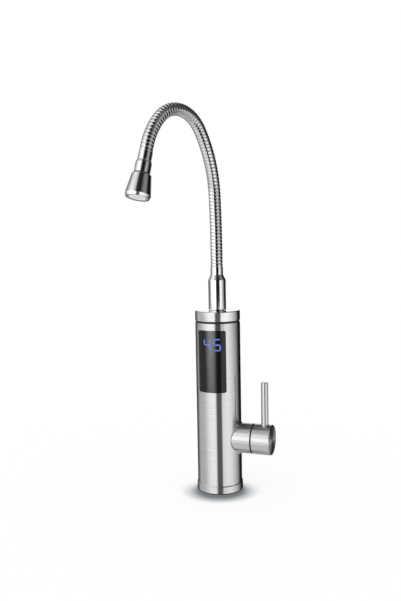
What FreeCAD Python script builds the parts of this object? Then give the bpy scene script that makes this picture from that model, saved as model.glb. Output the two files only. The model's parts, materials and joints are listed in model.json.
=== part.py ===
# Electric instant water heater tap: a steel column that holds a heater, with a lever valve on its side,
# a digital display on its front and a flexible ribbed spout on its top.
# Millimetres. The origin is the centre of the base on the worktop, +Z is up, the display faces -Y and
# the lever is at +X. The spout rests where it is turned a little towards -X.
import FreeCAD
import Part
import math
import os

# Clearances
FIT = 0.05
SEAM = 0.1
GAP = 0.3

# Fixing to the worktop
DECK_THICKNESS = 30.0
SHANK_RADIUS = 10.4775
SHANK_BORE = 6.0
SHANK_FREE_THREAD = 11.0
SHANK_GROOVE_LENGTH = 2.0
SHANK_GROOVE_DEPTH = 1.2
NUT_HEIGHT = 10.0
NUT_ACROSS_FLATS = 27.0
CLAMP_RADIUS = 26.0
CLAMP_GASKET_THICKNESS = 3.0
CLAMP_WASHER_THICKNESS = 2.0
CABLE_NOTCH_WIDTH = 8.0

# Base
BASE_GASKET_THICKNESS = 1.2
BASE_GASKET_INSET = 0.5
FLANGE_OVERHANG = 0.9
FLANGE_HEIGHT = 8.3
FLANGE_EDGE = 0.8
SPIGOT_HEIGHT = 7.0
SPIGOT_WALL = 3.0
GLAND_ROOM = 0.4
GLAND_RADIUS = 4.2
GLAND_BORE = 3.0
GLAND_RISE = 4.5
CABLE_ROOM = 0.5
CASING_SCREW_RADIUS = 1.5
CASING_SCREW_LENGTH = 3.5
CASING_SCREW_ANGLES = (60.0, 120.0)

# Casing and its branch
CASING_RADIUS = 26.0
CASING_WALL = 1.2
CASING_HEIGHT = 188.0
LEVER_HEIGHT = 62.0
BRANCH_RADIUS = 17.3
BRANCH_WALL = 1.2
BRANCH_REACH = 41.2
BRANCH_FILLET = 2.0

# Display
WINDOW_WIDTH = 32.9
WINDOW_HEIGHT = 71.3
WINDOW_CORNER = 2.0
LENS_RECESS = 0.1
LENS_LIP = 1.8
LENS_LIP_THICKNESS = 1.5
LENS_ROOM = 1.3
CARRIER_INSET = 1.0
CARRIER_WALL = 1.5
CARRIER_DEPTH = 3.0
BOARD_THICKNESS = 1.6
DIGIT_BLOCK_ROOM = 1.3
DIGIT_BLOCK_HEIGHT = 19.0
DIGIT_DROP = 16.2

# Top cap
SEAL_HEIGHT = 2.5
SEAL_RECESS = 0.6
CAP_HEIGHT = 11.0
CAP_EDGE = 0.8
CAP_PLATE = 3.0
CAP_SKIRT_DEPTH = 7.0
CAP_SKIRT_WALL = 2.0
CAP_BOSS_RADIUS = 12.0

# Swivel of the spout
SWIVEL_RADIUS = 5.95
SWIVEL_BORE = 3.2
SWIVEL_DEPTH = 20.0
SOCKET_RADIUS = 11.0
SOCKET_DEPTH = 16.0
SOCKET_FLANGE_RADIUS = 16.0
SOCKET_FLANGE_THICKNESS = 3.0
SOCKET_NECK_WALL = 1.9
RING_GROOVE_DEPTH = 1.35
RING_HEIGHT = 1.8
RING_DEPTHS = (6.0, 12.0)
CLIP_THICKNESS = 1.2
CLIP_REACH = 1.6
CLIP_OPENING = 60.0

# Ferrule of the spout
FERRULE_RADIUS = 10.1
FERRULE_HEIGHT = 34.7
FERRULE_CONE = 6.0
FERRULE_EDGE = 0.6
NECK_WALL = 0.75

# Ribbed hose: a straight rise, four arcs and a straight drop, in one upright plane
SPOUT_SWING = 20.0
HOSE_RISE = 26.4
LEAN_RADIUS = 1195.0
LEAN_TURN = 3.1
SWEEP_RADIUS = 134.7
SWEEP_TURN = 32.1
CROWN_RADIUS = 42.0
CROWN_TURN = 96.6
FALL_RADIUS = 73.1
FALL_TURN = 31.7
HOSE_DROP = 14.0
CREST_RADIUS = 6.9
RIB_DEPTH = 0.95
HOSE_BORE = 4.5
CUFF_RADIUS = 6.4
CUFF_LENGTH = 9.0
SECTION_COUNT = 10
RIBS_PER_SECTION = 7
GROOVE_SHARE = 0.24
CREST_SHARE = 0.40

# Nozzle
COLLAR_RADIUS = 8.4
COLLAR_SHOULDER = 1.6
COLLAR_SHOULDER_LENGTH = 3.2
COLLAR_LENGTH = 13.5
WASHER_INSET = 0.9
WASHER_THICKNESS = 1.0
SHELL_LENGTH = 25.0
SHELL_SHOULDER_RADIUS = 10.1
SHELL_SHOULDER_ROUND = 1.6
SHELL_MOUTH_RADIUS = 13.4
RIM_HEIGHT = 3.2
RIM_BEVEL = 1.1
MOUTH_WALL = 1.2
MOUTH_DEPTH = 9.0
AERATOR_RADIUS = 8.7
AERATOR_SETBACK = 0.6
AERATOR_HOLE_RADIUS = 0.8
AERATOR_RING_RADII = (2.6, 5.4)
AERATOR_HOLE_COUNTS = (6, 12)

# Valve
SOCKET_WALL = 1.9
INLET_SOCKET_HEIGHT = 14.5
INLET_SOCKET_DEPTH = 12.5
COLUMN_RADIUS = 9.0
PASSAGE_RADIUS = 4.0
PORT_RADIUS = 2.2
PORT_OFFSET = 4.5
BARREL_ROOM = 0.5
BARREL_WALL = 3.0
BARREL_FLOOR_WALL = 1.5
CARTRIDGE_WALL = 3.5
DISC_THICKNESS = 4.0
DISC_CAVITY = 20.0
DISC_SLOT_LENGTH = 14.0
BONNET_LIP = 3.6
BONNET_INSET = 0.8
LEVER_STEM_RADIUS = 5.0
LEVER_SPLINE_RADIUS = 4.0

# Flow switch
PLUNGER_OFFSET = 12.5
PLUNGER_RADIUS = 2.0
PLUNGER_DEPTH = 11.0
PLUNGER_PORT_RADIUS = 0.8
PLUNGER_HEAD_RADIUS = 3.6
PLUNGER_HEAD_HEIGHT = 1.2
PLUNGER_PIN_RADIUS = 1.2
PLUNGER_PIN_LENGTH = 4.2
PLUNGER_TRAVEL = 2.0
PLUNGER_BOSS_RADIUS = 5.0
BOSS_RISE = 2.0
SWITCH_LENGTH = 10.0
SWITCH_WIDTH = 12.0
SWITCH_HEIGHT = 8.6

# Lever
HUB_LENGTH = 21.5
HUB_EDGE = 0.6
GAP_RING_THICKNESS = 1.0
GAP_RING_INSET = 0.7
END_RIM = 1.7
END_CAP_THICKNESS = 2.0
SPLINE_DEPTH = 14.0
ROD_RADIUS = 4.1
ROD_RISE = 49.4
ROD_FROM_END = 8.6
ROD_SOCKET = 9.0
ROD_EDGE = 0.5
HUB_SCREW_RADIUS = 2.0
HUB_SCREW_FROM_START = 6.0

# Heater
TANK_ROOM = 2.3
TANK_TO_BOARD = 1.0
TANK_WALL = 1.0
TANK_CAP = 3.0
TANK_CAP_SPIGOT = 2.5
TUBE_RADIUS = 4.5
TUBE_BORE = 3.2
RISER_BOSS_RADIUS = 7.0
RISER_SOCKET = 4.0
ELEMENT_RADIUS = 3.0
ELEMENT_SPREAD = 8.0
ELEMENT_ROOM = 1.5
ELEMENT_HEADROOM = 13.0
TERMINAL_LENGTH = 5.0
PROBE_RADIUS = 2.2
PROBE_X = -10.0
PROBE_Y = 12.0
PROBE_DEPTH = 16.0
PROBE_RISE = 6.0
CUTOUT_RADIUS = 4.0
CUTOUT_ROOM = 1.3
CUTOUT_HEIGHT = 5.0

# Wiring
TERMINAL_BLOCK_WIDTH = 22.0
TERMINAL_BLOCK_DEPTH = 6.0
TERMINAL_BLOCK_HEIGHT = 12.0
TERMINAL_BLOCK_ROOM = 0.6
LEAD_RADIUS = 1.3
LEAD_BEND = 6.0
LEAD_INSET = 1.9
LEAD_JOG = 12.0

# Radii, heights and reaches that follow from the sizes above
CASING_BORE = CASING_RADIUS - CASING_WALL
FLANGE_RADIUS = CASING_RADIUS + FLANGE_OVERHANG
SPIGOT_RADIUS = CASING_BORE - SEAM
FLANGE_TOP = BASE_GASKET_THICKNESS + FLANGE_HEIGHT
SPIGOT_TOP = FLANGE_TOP + SPIGOT_HEIGHT
CASING_TOP = FLANGE_TOP + CASING_HEIGHT
CAP_BOTTOM = CASING_TOP + SEAL_HEIGHT
CAP_TOP = CAP_BOTTOM + CAP_HEIGHT

THREAD_HOLE = SHANK_RADIUS + FIT
INLET_SOCKET_RADIUS = THREAD_HOLE + SOCKET_WALL
GLAND_OFFSET = INLET_SOCKET_RADIUS + GLAND_ROOM + GLAND_RADIUS
DECK_HOLE_RADIUS = GLAND_OFFSET + GLAND_BORE + CABLE_ROOM

WINDOW_TOP = CAP_BOTTOM - CAP_SKIRT_DEPTH - LENS_ROOM - LENS_LIP
WINDOW_BOTTOM = WINDOW_TOP - WINDOW_HEIGHT
LENS_INNER = CASING_BORE - SEAM - LENS_LIP_THICKNESS
CARRIER_WIDTH = WINDOW_WIDTH - 2 * CARRIER_INSET
BOARD_DISTANCE = math.sqrt((LENS_INNER - SEAM) ** 2 - (CARRIER_WIDTH / 2) ** 2) - CARRIER_DEPTH

SOCKET_BORE = SWIVEL_RADIUS + FIT
SOCKET_BOTTOM = CAP_BOTTOM - SOCKET_DEPTH
SWIVEL_BOTTOM = CAP_TOP - SWIVEL_DEPTH
FERRULE_BOTTOM = CAP_TOP + GAP
CONE_BOTTOM = FERRULE_BOTTOM + FERRULE_HEIGHT
HOSE_ROOT = CONE_BOTTOM + FERRULE_CONE
NECK_RADIUS = CUFF_RADIUS + FIT + NECK_WALL
GROOVE_RADIUS = CREST_RADIUS - RIB_DEPTH

BARREL_RADIUS = BRANCH_RADIUS - BRANCH_WALL - BARREL_ROOM
BARREL_END = math.sqrt((CASING_BORE - BARREL_ROOM) ** 2 - BARREL_RADIUS ** 2)
BARREL_FLOOR = PASSAGE_RADIUS + BARREL_FLOOR_WALL
BARREL_TOP = LEVER_HEIGHT + BARREL_RADIUS
BOSS_TOP = BARREL_TOP + BOSS_RISE
CARTRIDGE_RADIUS = BARREL_RADIUS - BARREL_WALL - FIT
DISC_RADIUS = CARTRIDGE_RADIUS - CARTRIDGE_WALL - SEAM
BONNET_END = BRANCH_REACH - BONNET_INSET
CARTRIDGE_FRONT = BONNET_END - BONNET_LIP
HUB_START = BRANCH_REACH + GAP_RING_THICKNESS + GAP
HUB_END = HUB_START + HUB_LENGTH
ROD_REACH = HUB_END - ROD_FROM_END
END_CAP_RADIUS = BRANCH_RADIUS - END_RIM

PLUNGER_HEAD_LOW = BOSS_TOP + GAP
PLUNGER_HEAD_TOP = PLUNGER_HEAD_LOW + PLUNGER_HEAD_HEIGHT
SWITCH_BOTTOM = PLUNGER_HEAD_TOP + PLUNGER_TRAVEL + GAP
TANK_BOTTOM = SWITCH_BOTTOM + SWITCH_HEIGHT
TANK_TOP = SOCKET_BOTTOM
TANK_BACK = CASING_BORE - TANK_ROOM
TANK_FRONT = BOARD_DISTANCE - BOARD_THICKNESS - TANK_TO_BOARD
TANK_RADIUS = (TANK_BACK + TANK_FRONT) / 2
TANK_OFFSET = TANK_BACK - TANK_RADIUS
ELEMENT_OFFSET = SWITCH_WIDTH / 2 + ELEMENT_ROOM + ELEMENT_RADIUS
TERMINAL_BLOCK_BACK = math.sqrt((CASING_BORE - TERMINAL_BLOCK_ROOM) ** 2 - (TERMINAL_BLOCK_WIDTH / 2) ** 2)

X_AXIS = FreeCAD.Vector(1, 0, 0)
Y_AXIS = FreeCAD.Vector(0, 1, 0)
Z_AXIS = FreeCAD.Vector(0, 0, 1)

parts = {}


# Shapes that many pieces share

def cylinder(radius, low, high, x=0.0, y=0.0):
    """An upright cylinder between two heights."""
    return Part.makeCylinder(radius, high - low, FreeCAD.Vector(x, y, low), Z_AXIS)


def tube(radius, bore, low, high, x=0.0, y=0.0):
    """An upright tube between two heights."""
    return cylinder(radius, low, high, x, y).cut(cylinder(bore, low - 1, high + 1, x, y))


def lying_cylinder(radius, start, end, y=0.0, height=LEVER_HEIGHT):
    """A cylinder along +X, at the lever's height unless another is given."""
    return Part.makeCylinder(radius, end - start, FreeCAD.Vector(start, y, height), X_AXIS)


def block(x_low, x_high, y_low, y_high, z_low, z_high):
    """A box between two corners."""
    corner = FreeCAD.Vector(x_low, y_low, z_low)
    return Part.makeBox(x_high - x_low, y_high - y_low, z_high - z_low, corner)


def turned(outline):
    """A solid of revolution about Z from corners given as radius and height."""
    points = [FreeCAD.Vector(radius, 0, height) for radius, height in outline]
    face = Part.Face(Part.makePolygon(points + points[:1]))
    return face.revolve(FreeCAD.Vector(), Z_AXIS, 360)


def window_prism(width, height, corner):
    """A prism through the front of the casing with the display window's rounded outline."""
    middle = WINDOW_BOTTOM + WINDOW_HEIGHT / 2
    depth = CASING_RADIUS
    prism = block(-width / 2, width / 2, -depth - 1, -depth / 3, middle - height / 2, middle + height / 2)
    upright = [e for e in prism.Edges if abs(e.tangentAt(e.FirstParameter).y) > 0.99]
    return prism.makeFillet(corner, upright)


def tube_path(points, radius, bend):
    """A round rod along straight runs with equal bends between them."""
    edges = []
    start = points[0]
    for before, corner, after in zip(points, points[1:], points[2:]):
        inward = (before - corner).normalize()
        outward = (after - corner).normalize()
        half = inward.getAngle(outward) / 2
        setback = bend / math.tan(half)
        first = corner + inward * setback
        last = corner + outward * setback
        middle_way = (inward + outward).normalize()
        middle = corner + middle_way * (bend / math.sin(half) - bend)
        edges.append(Part.LineSegment(start, first).toShape())
        edges.append(Part.Arc(first, middle, last).toShape())
        start = last
    edges.append(Part.LineSegment(start, points[-1]).toShape())
    path = Part.Wire(edges)
    ring = Part.Wire(Part.makeCircle(radius, points[0], points[1] - points[0]))
    return path.makePipeShell([ring], True, False)


# Fixing to the worktop

def worktop_fixing():
    clamp_top = -DECK_THICKNESS
    washer_top = clamp_top - CLAMP_GASKET_THICKNESS
    nut_top = washer_top - CLAMP_WASHER_THICKNESS
    nut_bottom = nut_top - NUT_HEIGHT
    # A groove under the nut parts its thread from the free end, which takes the supply hose.
    thread_top = nut_bottom - SHANK_GROOVE_LENGTH
    thread_bottom = thread_top - SHANK_FREE_THREAD
    shank = tube(SHANK_RADIUS, SHANK_BORE, thread_bottom, FLANGE_TOP + INLET_SOCKET_DEPTH)
    groove = tube(SHANK_RADIUS + 1, SHANK_RADIUS - SHANK_GROOVE_DEPTH, thread_top, nut_bottom)
    parts["inlet_shank"] = shank.cut(groove)

    def clamp_plate(low, high):
        notch = block(-CABLE_NOTCH_WIDTH / 2, CABLE_NOTCH_WIDTH / 2, GLAND_OFFSET - GLAND_RADIUS,
                      CLAMP_RADIUS + 1, low - 1, high + 1)
        return tube(CLAMP_RADIUS, THREAD_HOLE + SEAM, low, high).cut(notch)

    parts["clamp_gasket"] = clamp_plate(washer_top, clamp_top)
    parts["clamp_washer"] = clamp_plate(nut_top, washer_top)

    corner = NUT_ACROSS_FLATS / math.sqrt(3)
    corners = [FreeCAD.Vector(corner * math.cos(math.radians(60 * i)),
                              corner * math.sin(math.radians(60 * i)), nut_bottom) for i in range(7)]
    hexagon = Part.Face(Part.makePolygon(corners)).extrude(Z_AXIS * NUT_HEIGHT)
    parts["mounting_nut"] = hexagon.cut(cylinder(THREAD_HOLE, nut_bottom - 1, nut_top + 1))
    print("free thread from", round(thread_bottom, 3), "to", round(thread_top, 3))


# Base

def base():
    gasket_radius = FLANGE_RADIUS - BASE_GASKET_INSET
    parts["base_gasket"] = tube(gasket_radius, DECK_HOLE_RADIUS, 0, BASE_GASKET_THICKNESS)

    flange = turned([
        (THREAD_HOLE, BASE_GASKET_THICKNESS),
        (FLANGE_RADIUS, BASE_GASKET_THICKNESS),
        (FLANGE_RADIUS, FLANGE_TOP - FLANGE_EDGE),
        (FLANGE_RADIUS - FLANGE_EDGE, FLANGE_TOP),
        (SPIGOT_RADIUS, FLANGE_TOP),
        (SPIGOT_RADIUS, SPIGOT_TOP),
        (SPIGOT_RADIUS - SPIGOT_WALL, SPIGOT_TOP),
        (SPIGOT_RADIUS - SPIGOT_WALL, FLANGE_TOP),
        (THREAD_HOLE, FLANGE_TOP),
    ])
    flange = flange.cut(cylinder(GLAND_RADIUS + FIT, 0, SPIGOT_TOP, 0, GLAND_OFFSET))
    parts["base_flange"] = flange.cut(casing_screws(FIT, CASING_RADIUS + 1))
    parts["casing_screws"] = casing_screws(0.0, CASING_RADIUS - SEAM)
    parts["cable_gland"] = tube(GLAND_RADIUS, GLAND_BORE, BASE_GASKET_THICKNESS, FLANGE_TOP + GLAND_RISE,
                                0, GLAND_OFFSET)
    print("cable bore at", round(GLAND_OFFSET, 4), "from", BASE_GASKET_THICKNESS, "to", FLANGE_TOP + GLAND_RISE)


def casing_screws(clearance, outer):
    """Rods that point outwards through the spigot's wall: the grub screws of the casing, or their holes."""
    middle = FLANGE_TOP + SPIGOT_HEIGHT / 2
    inner = CASING_RADIUS - SEAM - CASING_SCREW_LENGTH - clearance
    screws = []
    for angle in CASING_SCREW_ANGLES:
        way = FreeCAD.Vector(math.cos(math.radians(angle)), math.sin(math.radians(angle)), 0)
        start = way * inner + Z_AXIS * middle
        screws.append(Part.makeCylinder(CASING_SCREW_RADIUS + clearance, outer - inner, start, way))
    return Part.makeCompound(screws)


# Casing

def casing():
    column = cylinder(CASING_RADIUS, FLANGE_TOP, CASING_TOP)
    body = column.fuse(lying_cylinder(BRANCH_RADIUS, 0, BRANCH_REACH)).removeSplitter()
    joint = [e for e in body.Edges
             if e.BoundBox.XMin > 1 and e.BoundBox.XMax < BRANCH_REACH - 1
             and e.BoundBox.ZLength < 2.2 * BRANCH_RADIUS and e.BoundBox.YLength > BRANCH_RADIUS / 2]
    body = body.makeFillet(BRANCH_FILLET, joint)
    body = body.cut(cylinder(CASING_BORE, 0, CASING_TOP + 1))
    body = body.cut(lying_cylinder(BRANCH_RADIUS - BRANCH_WALL, 0, BRANCH_REACH + 1))
    body = body.cut(window_prism(WINDOW_WIDTH, WINDOW_HEIGHT, WINDOW_CORNER))
    parts["outer_casing"] = body.cut(casing_screws(FIT, CASING_RADIUS + 1))


# Display

def display():
    front_of_board = -BOARD_DISTANCE
    lens = tube(CASING_RADIUS - LENS_RECESS, LENS_INNER, FLANGE_TOP, CASING_TOP)
    lens = lens.common(window_prism(WINDOW_WIDTH - 2 * SEAM, WINDOW_HEIGHT - 2 * SEAM, WINDOW_CORNER - SEAM))
    lip = tube(CASING_BORE - SEAM, LENS_INNER, FLANGE_TOP, CASING_TOP)
    lip = lip.common(window_prism(WINDOW_WIDTH + 2 * LENS_LIP, WINDOW_HEIGHT + 2 * LENS_LIP,
                                  WINDOW_CORNER + LENS_LIP))
    parts["display_lens"] = lens.fuse(lip).removeSplitter()

    width = CARRIER_WIDTH
    height = WINDOW_HEIGHT - 2 * CARRIER_INSET
    low = WINDOW_BOTTOM + CARRIER_INSET
    high = low + height
    wall = CARRIER_WALL
    room = cylinder(LENS_INNER - SEAM, FLANGE_TOP, CASING_TOP)
    frame = block(-width / 2, width / 2, -CASING_RADIUS, front_of_board, low, high)
    frame = frame.cut(block(-width / 2 + wall, width / 2 - wall, -CASING_RADIUS - 1, front_of_board + 1,
                            low + wall, high - wall))
    parts["display_carrier"] = frame.common(room)
    parts["display_board"] = block(-width / 2, width / 2, front_of_board, front_of_board + BOARD_THICKNESS,
                                   low, high)
    digit_width = width - 2 * wall - 2 * DIGIT_BLOCK_ROOM
    digit_front = -math.sqrt((LENS_INNER - GAP) ** 2 - (digit_width / 2) ** 2)
    digit_middle = WINDOW_TOP - DIGIT_DROP
    digit_low = digit_middle - DIGIT_BLOCK_HEIGHT / 2
    parts["digit_module"] = block(-digit_width / 2, digit_width / 2, digit_front, front_of_board,
                                  digit_low, digit_low + DIGIT_BLOCK_HEIGHT)


# Top cap and the socket in it

def top():
    skirt = CASING_BORE - SEAM
    hollow = skirt - CAP_SKIRT_WALL
    hole = SOCKET_BORE + SOCKET_NECK_WALL + FIT
    parts["cap_seal_ring"] = tube(CASING_RADIUS - SEAL_RECESS, skirt + FIT, CASING_TOP, CAP_BOTTOM)
    cap = turned([
        (hole, CAP_TOP),
        (CASING_RADIUS - CAP_EDGE, CAP_TOP),
        (CASING_RADIUS, CAP_TOP - CAP_EDGE),
        (CASING_RADIUS, CAP_BOTTOM),
        (skirt, CAP_BOTTOM),
        (skirt, CAP_BOTTOM - CAP_SKIRT_DEPTH),
        (hollow, CAP_BOTTOM - CAP_SKIRT_DEPTH),
        (hollow, CAP_TOP - CAP_PLATE),
        (CAP_BOSS_RADIUS, CAP_TOP - CAP_PLATE),
        (CAP_BOSS_RADIUS, CAP_BOTTOM),
        (hole, CAP_BOTTOM),
    ])
    parts["top_cap"] = cap

    clip_low = SWIVEL_BOTTOM + CLIP_THICKNESS
    clip_high = clip_low + CLIP_THICKNESS
    clip_radius = SWIVEL_RADIUS + CLIP_REACH
    socket = turned([
        (TUBE_RADIUS + FIT, SOCKET_BOTTOM),
        (SOCKET_RADIUS, SOCKET_BOTTOM),
        (SOCKET_RADIUS, CAP_BOTTOM - SOCKET_FLANGE_THICKNESS),
        (SOCKET_FLANGE_RADIUS, CAP_BOTTOM - SOCKET_FLANGE_THICKNESS),
        (SOCKET_FLANGE_RADIUS, CAP_BOTTOM),
        (SOCKET_BORE + SOCKET_NECK_WALL, CAP_BOTTOM),
        (SOCKET_BORE + SOCKET_NECK_WALL, CAP_TOP),
        (SOCKET_BORE, CAP_TOP),
        (SOCKET_BORE, clip_high + GAP),
        (clip_radius + GAP, clip_high + GAP),
        (clip_radius + GAP, clip_low - GAP),
        (SOCKET_BORE, clip_low - GAP),
        (SOCKET_BORE, SWIVEL_BOTTOM - GAP),
        (TUBE_BORE, SWIVEL_BOTTOM - GAP),
        (TUBE_BORE, SWIVEL_BOTTOM - 2 * GAP),
        (TUBE_RADIUS + FIT, SWIVEL_BOTTOM - 2 * GAP),
    ])
    parts["swivel_socket"] = socket

    outline = [(SWIVEL_BORE, SWIVEL_BOTTOM), (SWIVEL_RADIUS, SWIVEL_BOTTOM)]
    grooves = [(clip_low, clip_high)]
    for depth in sorted(RING_DEPTHS, reverse=True):
        grooves.append((CAP_TOP - depth, CAP_TOP - depth + RING_HEIGHT))
    floor = SWIVEL_RADIUS - RING_GROOVE_DEPTH
    for low, high in grooves:
        outline += [(SWIVEL_RADIUS, low), (floor, low), (floor, high), (SWIVEL_RADIUS, high)]
    outline += [(SWIVEL_RADIUS, CONE_BOTTOM), (SWIVEL_BORE, CONE_BOTTOM)]
    parts["swivel_stem"] = turned(outline)
    rings = [tube(SWIVEL_RADIUS, floor, low, high) for low, high in grooves[1:]]
    parts["swivel_o_rings"] = Part.makeCompound(rings)
    opening = Part.makeCylinder(clip_radius + 1, CLIP_THICKNESS, FreeCAD.Vector(0, 0, clip_low), Z_AXIS,
                                CLIP_OPENING)
    parts["stem_clip"] = tube(clip_radius, floor, clip_low, clip_high).cut(opening)


# Spout

def ferrule():
    neck_top = HOSE_ROOT + CUFF_LENGTH
    parts["spout_ferrule"] = turned([
        (SWIVEL_RADIUS, FERRULE_BOTTOM),
        (FERRULE_RADIUS - FERRULE_EDGE, FERRULE_BOTTOM),
        (FERRULE_RADIUS, FERRULE_BOTTOM + FERRULE_EDGE),
        (FERRULE_RADIUS, CONE_BOTTOM),
        (NECK_RADIUS, HOSE_ROOT),
        (NECK_RADIUS, neck_top),
        (CUFF_RADIUS + FIT, neck_top),
        (CUFF_RADIUS + FIT, HOSE_ROOT),
        (HOSE_BORE, HOSE_ROOT),
        (HOSE_BORE, CONE_BOTTOM),
        (SWIVEL_RADIUS, CONE_BOTTOM),
    ])


def hose_runs():
    """Each run of the hose as its length and its turn in radians."""
    arcs = ((LEAN_RADIUS, LEAN_TURN), (SWEEP_RADIUS, SWEEP_TURN), (CROWN_RADIUS, CROWN_TURN),
            (FALL_RADIUS, FALL_TURN))
    bends = [(radius * math.radians(turn), math.radians(turn)) for radius, turn in arcs]
    return [(HOSE_RISE, 0.0)] + bends + [(HOSE_DROP, 0.0)]


HOSE_LENGTH = sum(length for length, turn in hose_runs())
SWING = math.radians(SPOUT_SWING)
REACH_WAY = FreeCAD.Vector(-math.sin(SWING), -math.cos(SWING), 0)
BEND_AXIS = Z_AXIS.cross(REACH_WAY)


def station(along):
    """The point of the hose's middle line at a distance along it, and the way it runs there."""
    reach = 0.0
    height = HOSE_ROOT
    lean = 0.0
    left = along
    runs = hose_runs()
    for i, (length, turn) in enumerate(runs):
        step = left if i == len(runs) - 1 else min(left, length)
        angle = step * turn / length
        chord = step if abs(angle) < 1e-12 else 2 * math.sin(angle / 2) * step / angle
        reach += chord * math.sin(lean + angle / 2)
        height += chord * math.cos(lean + angle / 2)
        lean += angle
        left -= step
        if left <= 0:
            break
    point = REACH_WAY * reach + Z_AXIS * height
    way = REACH_WAY * math.sin(lean) + Z_AXIS * math.cos(lean)
    return point, way


def along_hose(distance):
    """The placement with its Z along the hose and its X square to the hose's plane."""
    point, way = station(distance)
    across = way.cross(BEND_AXIS)
    return FreeCAD.Placement(point, FreeCAD.Rotation(BEND_AXIS, across, way, "ZXY"))


def hose_loft(stations):
    """A ruled loft through circles given as distance along the hose and radius."""
    rings = []
    for distance, radius in stations:
        ring = Part.Wire(Part.makeCircle(radius))
        ring.Placement = along_hose(distance)
        rings.append(ring)
    return Part.makeLoft(rings, True, True)


def hose():
    ribbed = HOSE_LENGTH - 2 * CUFF_LENGTH
    pitch = ribbed / (SECTION_COUNT * RIBS_PER_SECTION)
    half_groove = GROOVE_SHARE * pitch / 2
    half_crest = CREST_SHARE * pitch / 2
    for section in range(SECTION_COUNT):
        stations = []
        for rib in range(RIBS_PER_SECTION):
            low = CUFF_LENGTH + (section * RIBS_PER_SECTION + rib) * pitch
            middle = low + pitch / 2
            stations += [(low + half_groove, GROOVE_RADIUS), (middle - half_crest, CREST_RADIUS),
                         (middle + half_crest, CREST_RADIUS), (low + pitch - half_groove, GROOVE_RADIUS)]
        bore = [(distance, HOSE_BORE) for distance, radius in stations]
        bore[0] = (stations[0][0] - half_groove / 2, HOSE_BORE)
        bore[-1] = (stations[-1][0] + half_groove / 2, HOSE_BORE)
        solid = hose_loft(stations).cut(hose_loft(bore))
        if section == 0:
            cuff = tube(CUFF_RADIUS, HOSE_BORE, 0, CUFF_LENGTH + half_groove)
            cuff.Placement = along_hose(0)
            solid = solid.fuse(cuff)
        if section == SECTION_COUNT - 1:
            cuff = tube(CUFF_RADIUS, HOSE_BORE, 0, CUFF_LENGTH + half_groove)
            cuff.Placement = along_hose(HOSE_LENGTH - CUFF_LENGTH - half_groove)
            solid = solid.fuse(cuff)
        parts[f"hose_section_{section + 1:02d}"] = solid
        if section > 0:
            point, way = station(CUFF_LENGTH + section * RIBS_PER_SECTION * pitch)
            print("hose hinge", section, round(point.x, 4), round(point.y, 4), round(point.z, 4))
    print("hose length", round(HOSE_LENGTH, 2), "rib pitch", round(pitch, 3))
    print("gap at each cut of the hose", round(2 * half_groove, 3))
    print("hose bend axis", round(BEND_AXIS.x, 6), round(BEND_AXIS.y, 6), round(BEND_AXIS.z, 6))
    print("arch radii", LEAN_RADIUS, SWEEP_RADIUS, CROWN_RADIUS, FALL_RADIUS)


# Nozzle, drawn along Z from the hose's end and then set on it

def nozzle():
    seat = along_hose(HOSE_LENGTH)
    parts["end_sleeve"] = tube(NECK_RADIUS, CUFF_RADIUS + FIT, -CUFF_LENGTH, 0)

    washer_low = COLLAR_LENGTH
    shell_low = washer_low + WASHER_THICKNESS
    mouth = shell_low + SHELL_LENGTH
    parts["end_collar"] = turned([
        (HOSE_BORE, 0),
        (COLLAR_RADIUS - COLLAR_SHOULDER, 0),
        (COLLAR_RADIUS - COLLAR_SHOULDER / 3, COLLAR_SHOULDER_LENGTH / 3),
        (COLLAR_RADIUS, COLLAR_SHOULDER_LENGTH),
        (COLLAR_RADIUS, COLLAR_LENGTH),
        (HOSE_BORE, COLLAR_LENGTH),
    ])
    parts["nozzle_washer"] = tube(COLLAR_RADIUS - WASHER_INSET, HOSE_BORE, washer_low, shell_low)

    inner_mouth = SHELL_MOUTH_RADIUS - RIM_BEVEL - MOUTH_WALL
    cavity = mouth - MOUTH_DEPTH
    shell = turned([
        (HOSE_BORE, shell_low),
        (SHELL_SHOULDER_RADIUS, shell_low),
        (SHELL_MOUTH_RADIUS, mouth - RIM_HEIGHT),
        (SHELL_MOUTH_RADIUS - RIM_BEVEL, mouth),
        (inner_mouth, mouth),
        (inner_mouth, cavity),
        (HOSE_BORE, cavity - inner_mouth + HOSE_BORE),
    ])
    shoulder = [e for e in shell.Edges
                if abs(e.BoundBox.ZMax - shell_low) < 1e-6 and e.BoundBox.XMax > HOSE_BORE + 1]
    parts["nozzle_shell"] = shell.makeFillet(SHELL_SHOULDER_ROUND, shoulder)

    face = mouth - AERATOR_SETBACK
    parts["aerator_housing"] = tube(inner_mouth - SEAM, AERATOR_RADIUS + FIT, cavity, face)
    core = cylinder(AERATOR_RADIUS, cavity, face)
    for ring, count in zip(AERATOR_RING_RADII, AERATOR_HOLE_COUNTS):
        for i in range(count):
            angle = 2 * math.pi * i / count
            core = core.cut(cylinder(AERATOR_HOLE_RADIUS, cavity - 1, face + 1,
                                     ring * math.cos(angle), ring * math.sin(angle)))
    parts["aerator_core"] = core

    for name in ("end_sleeve", "end_collar", "nozzle_washer", "nozzle_shell", "aerator_housing",
                 "aerator_core"):
        parts[name].Placement = seat


# Valve

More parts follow.
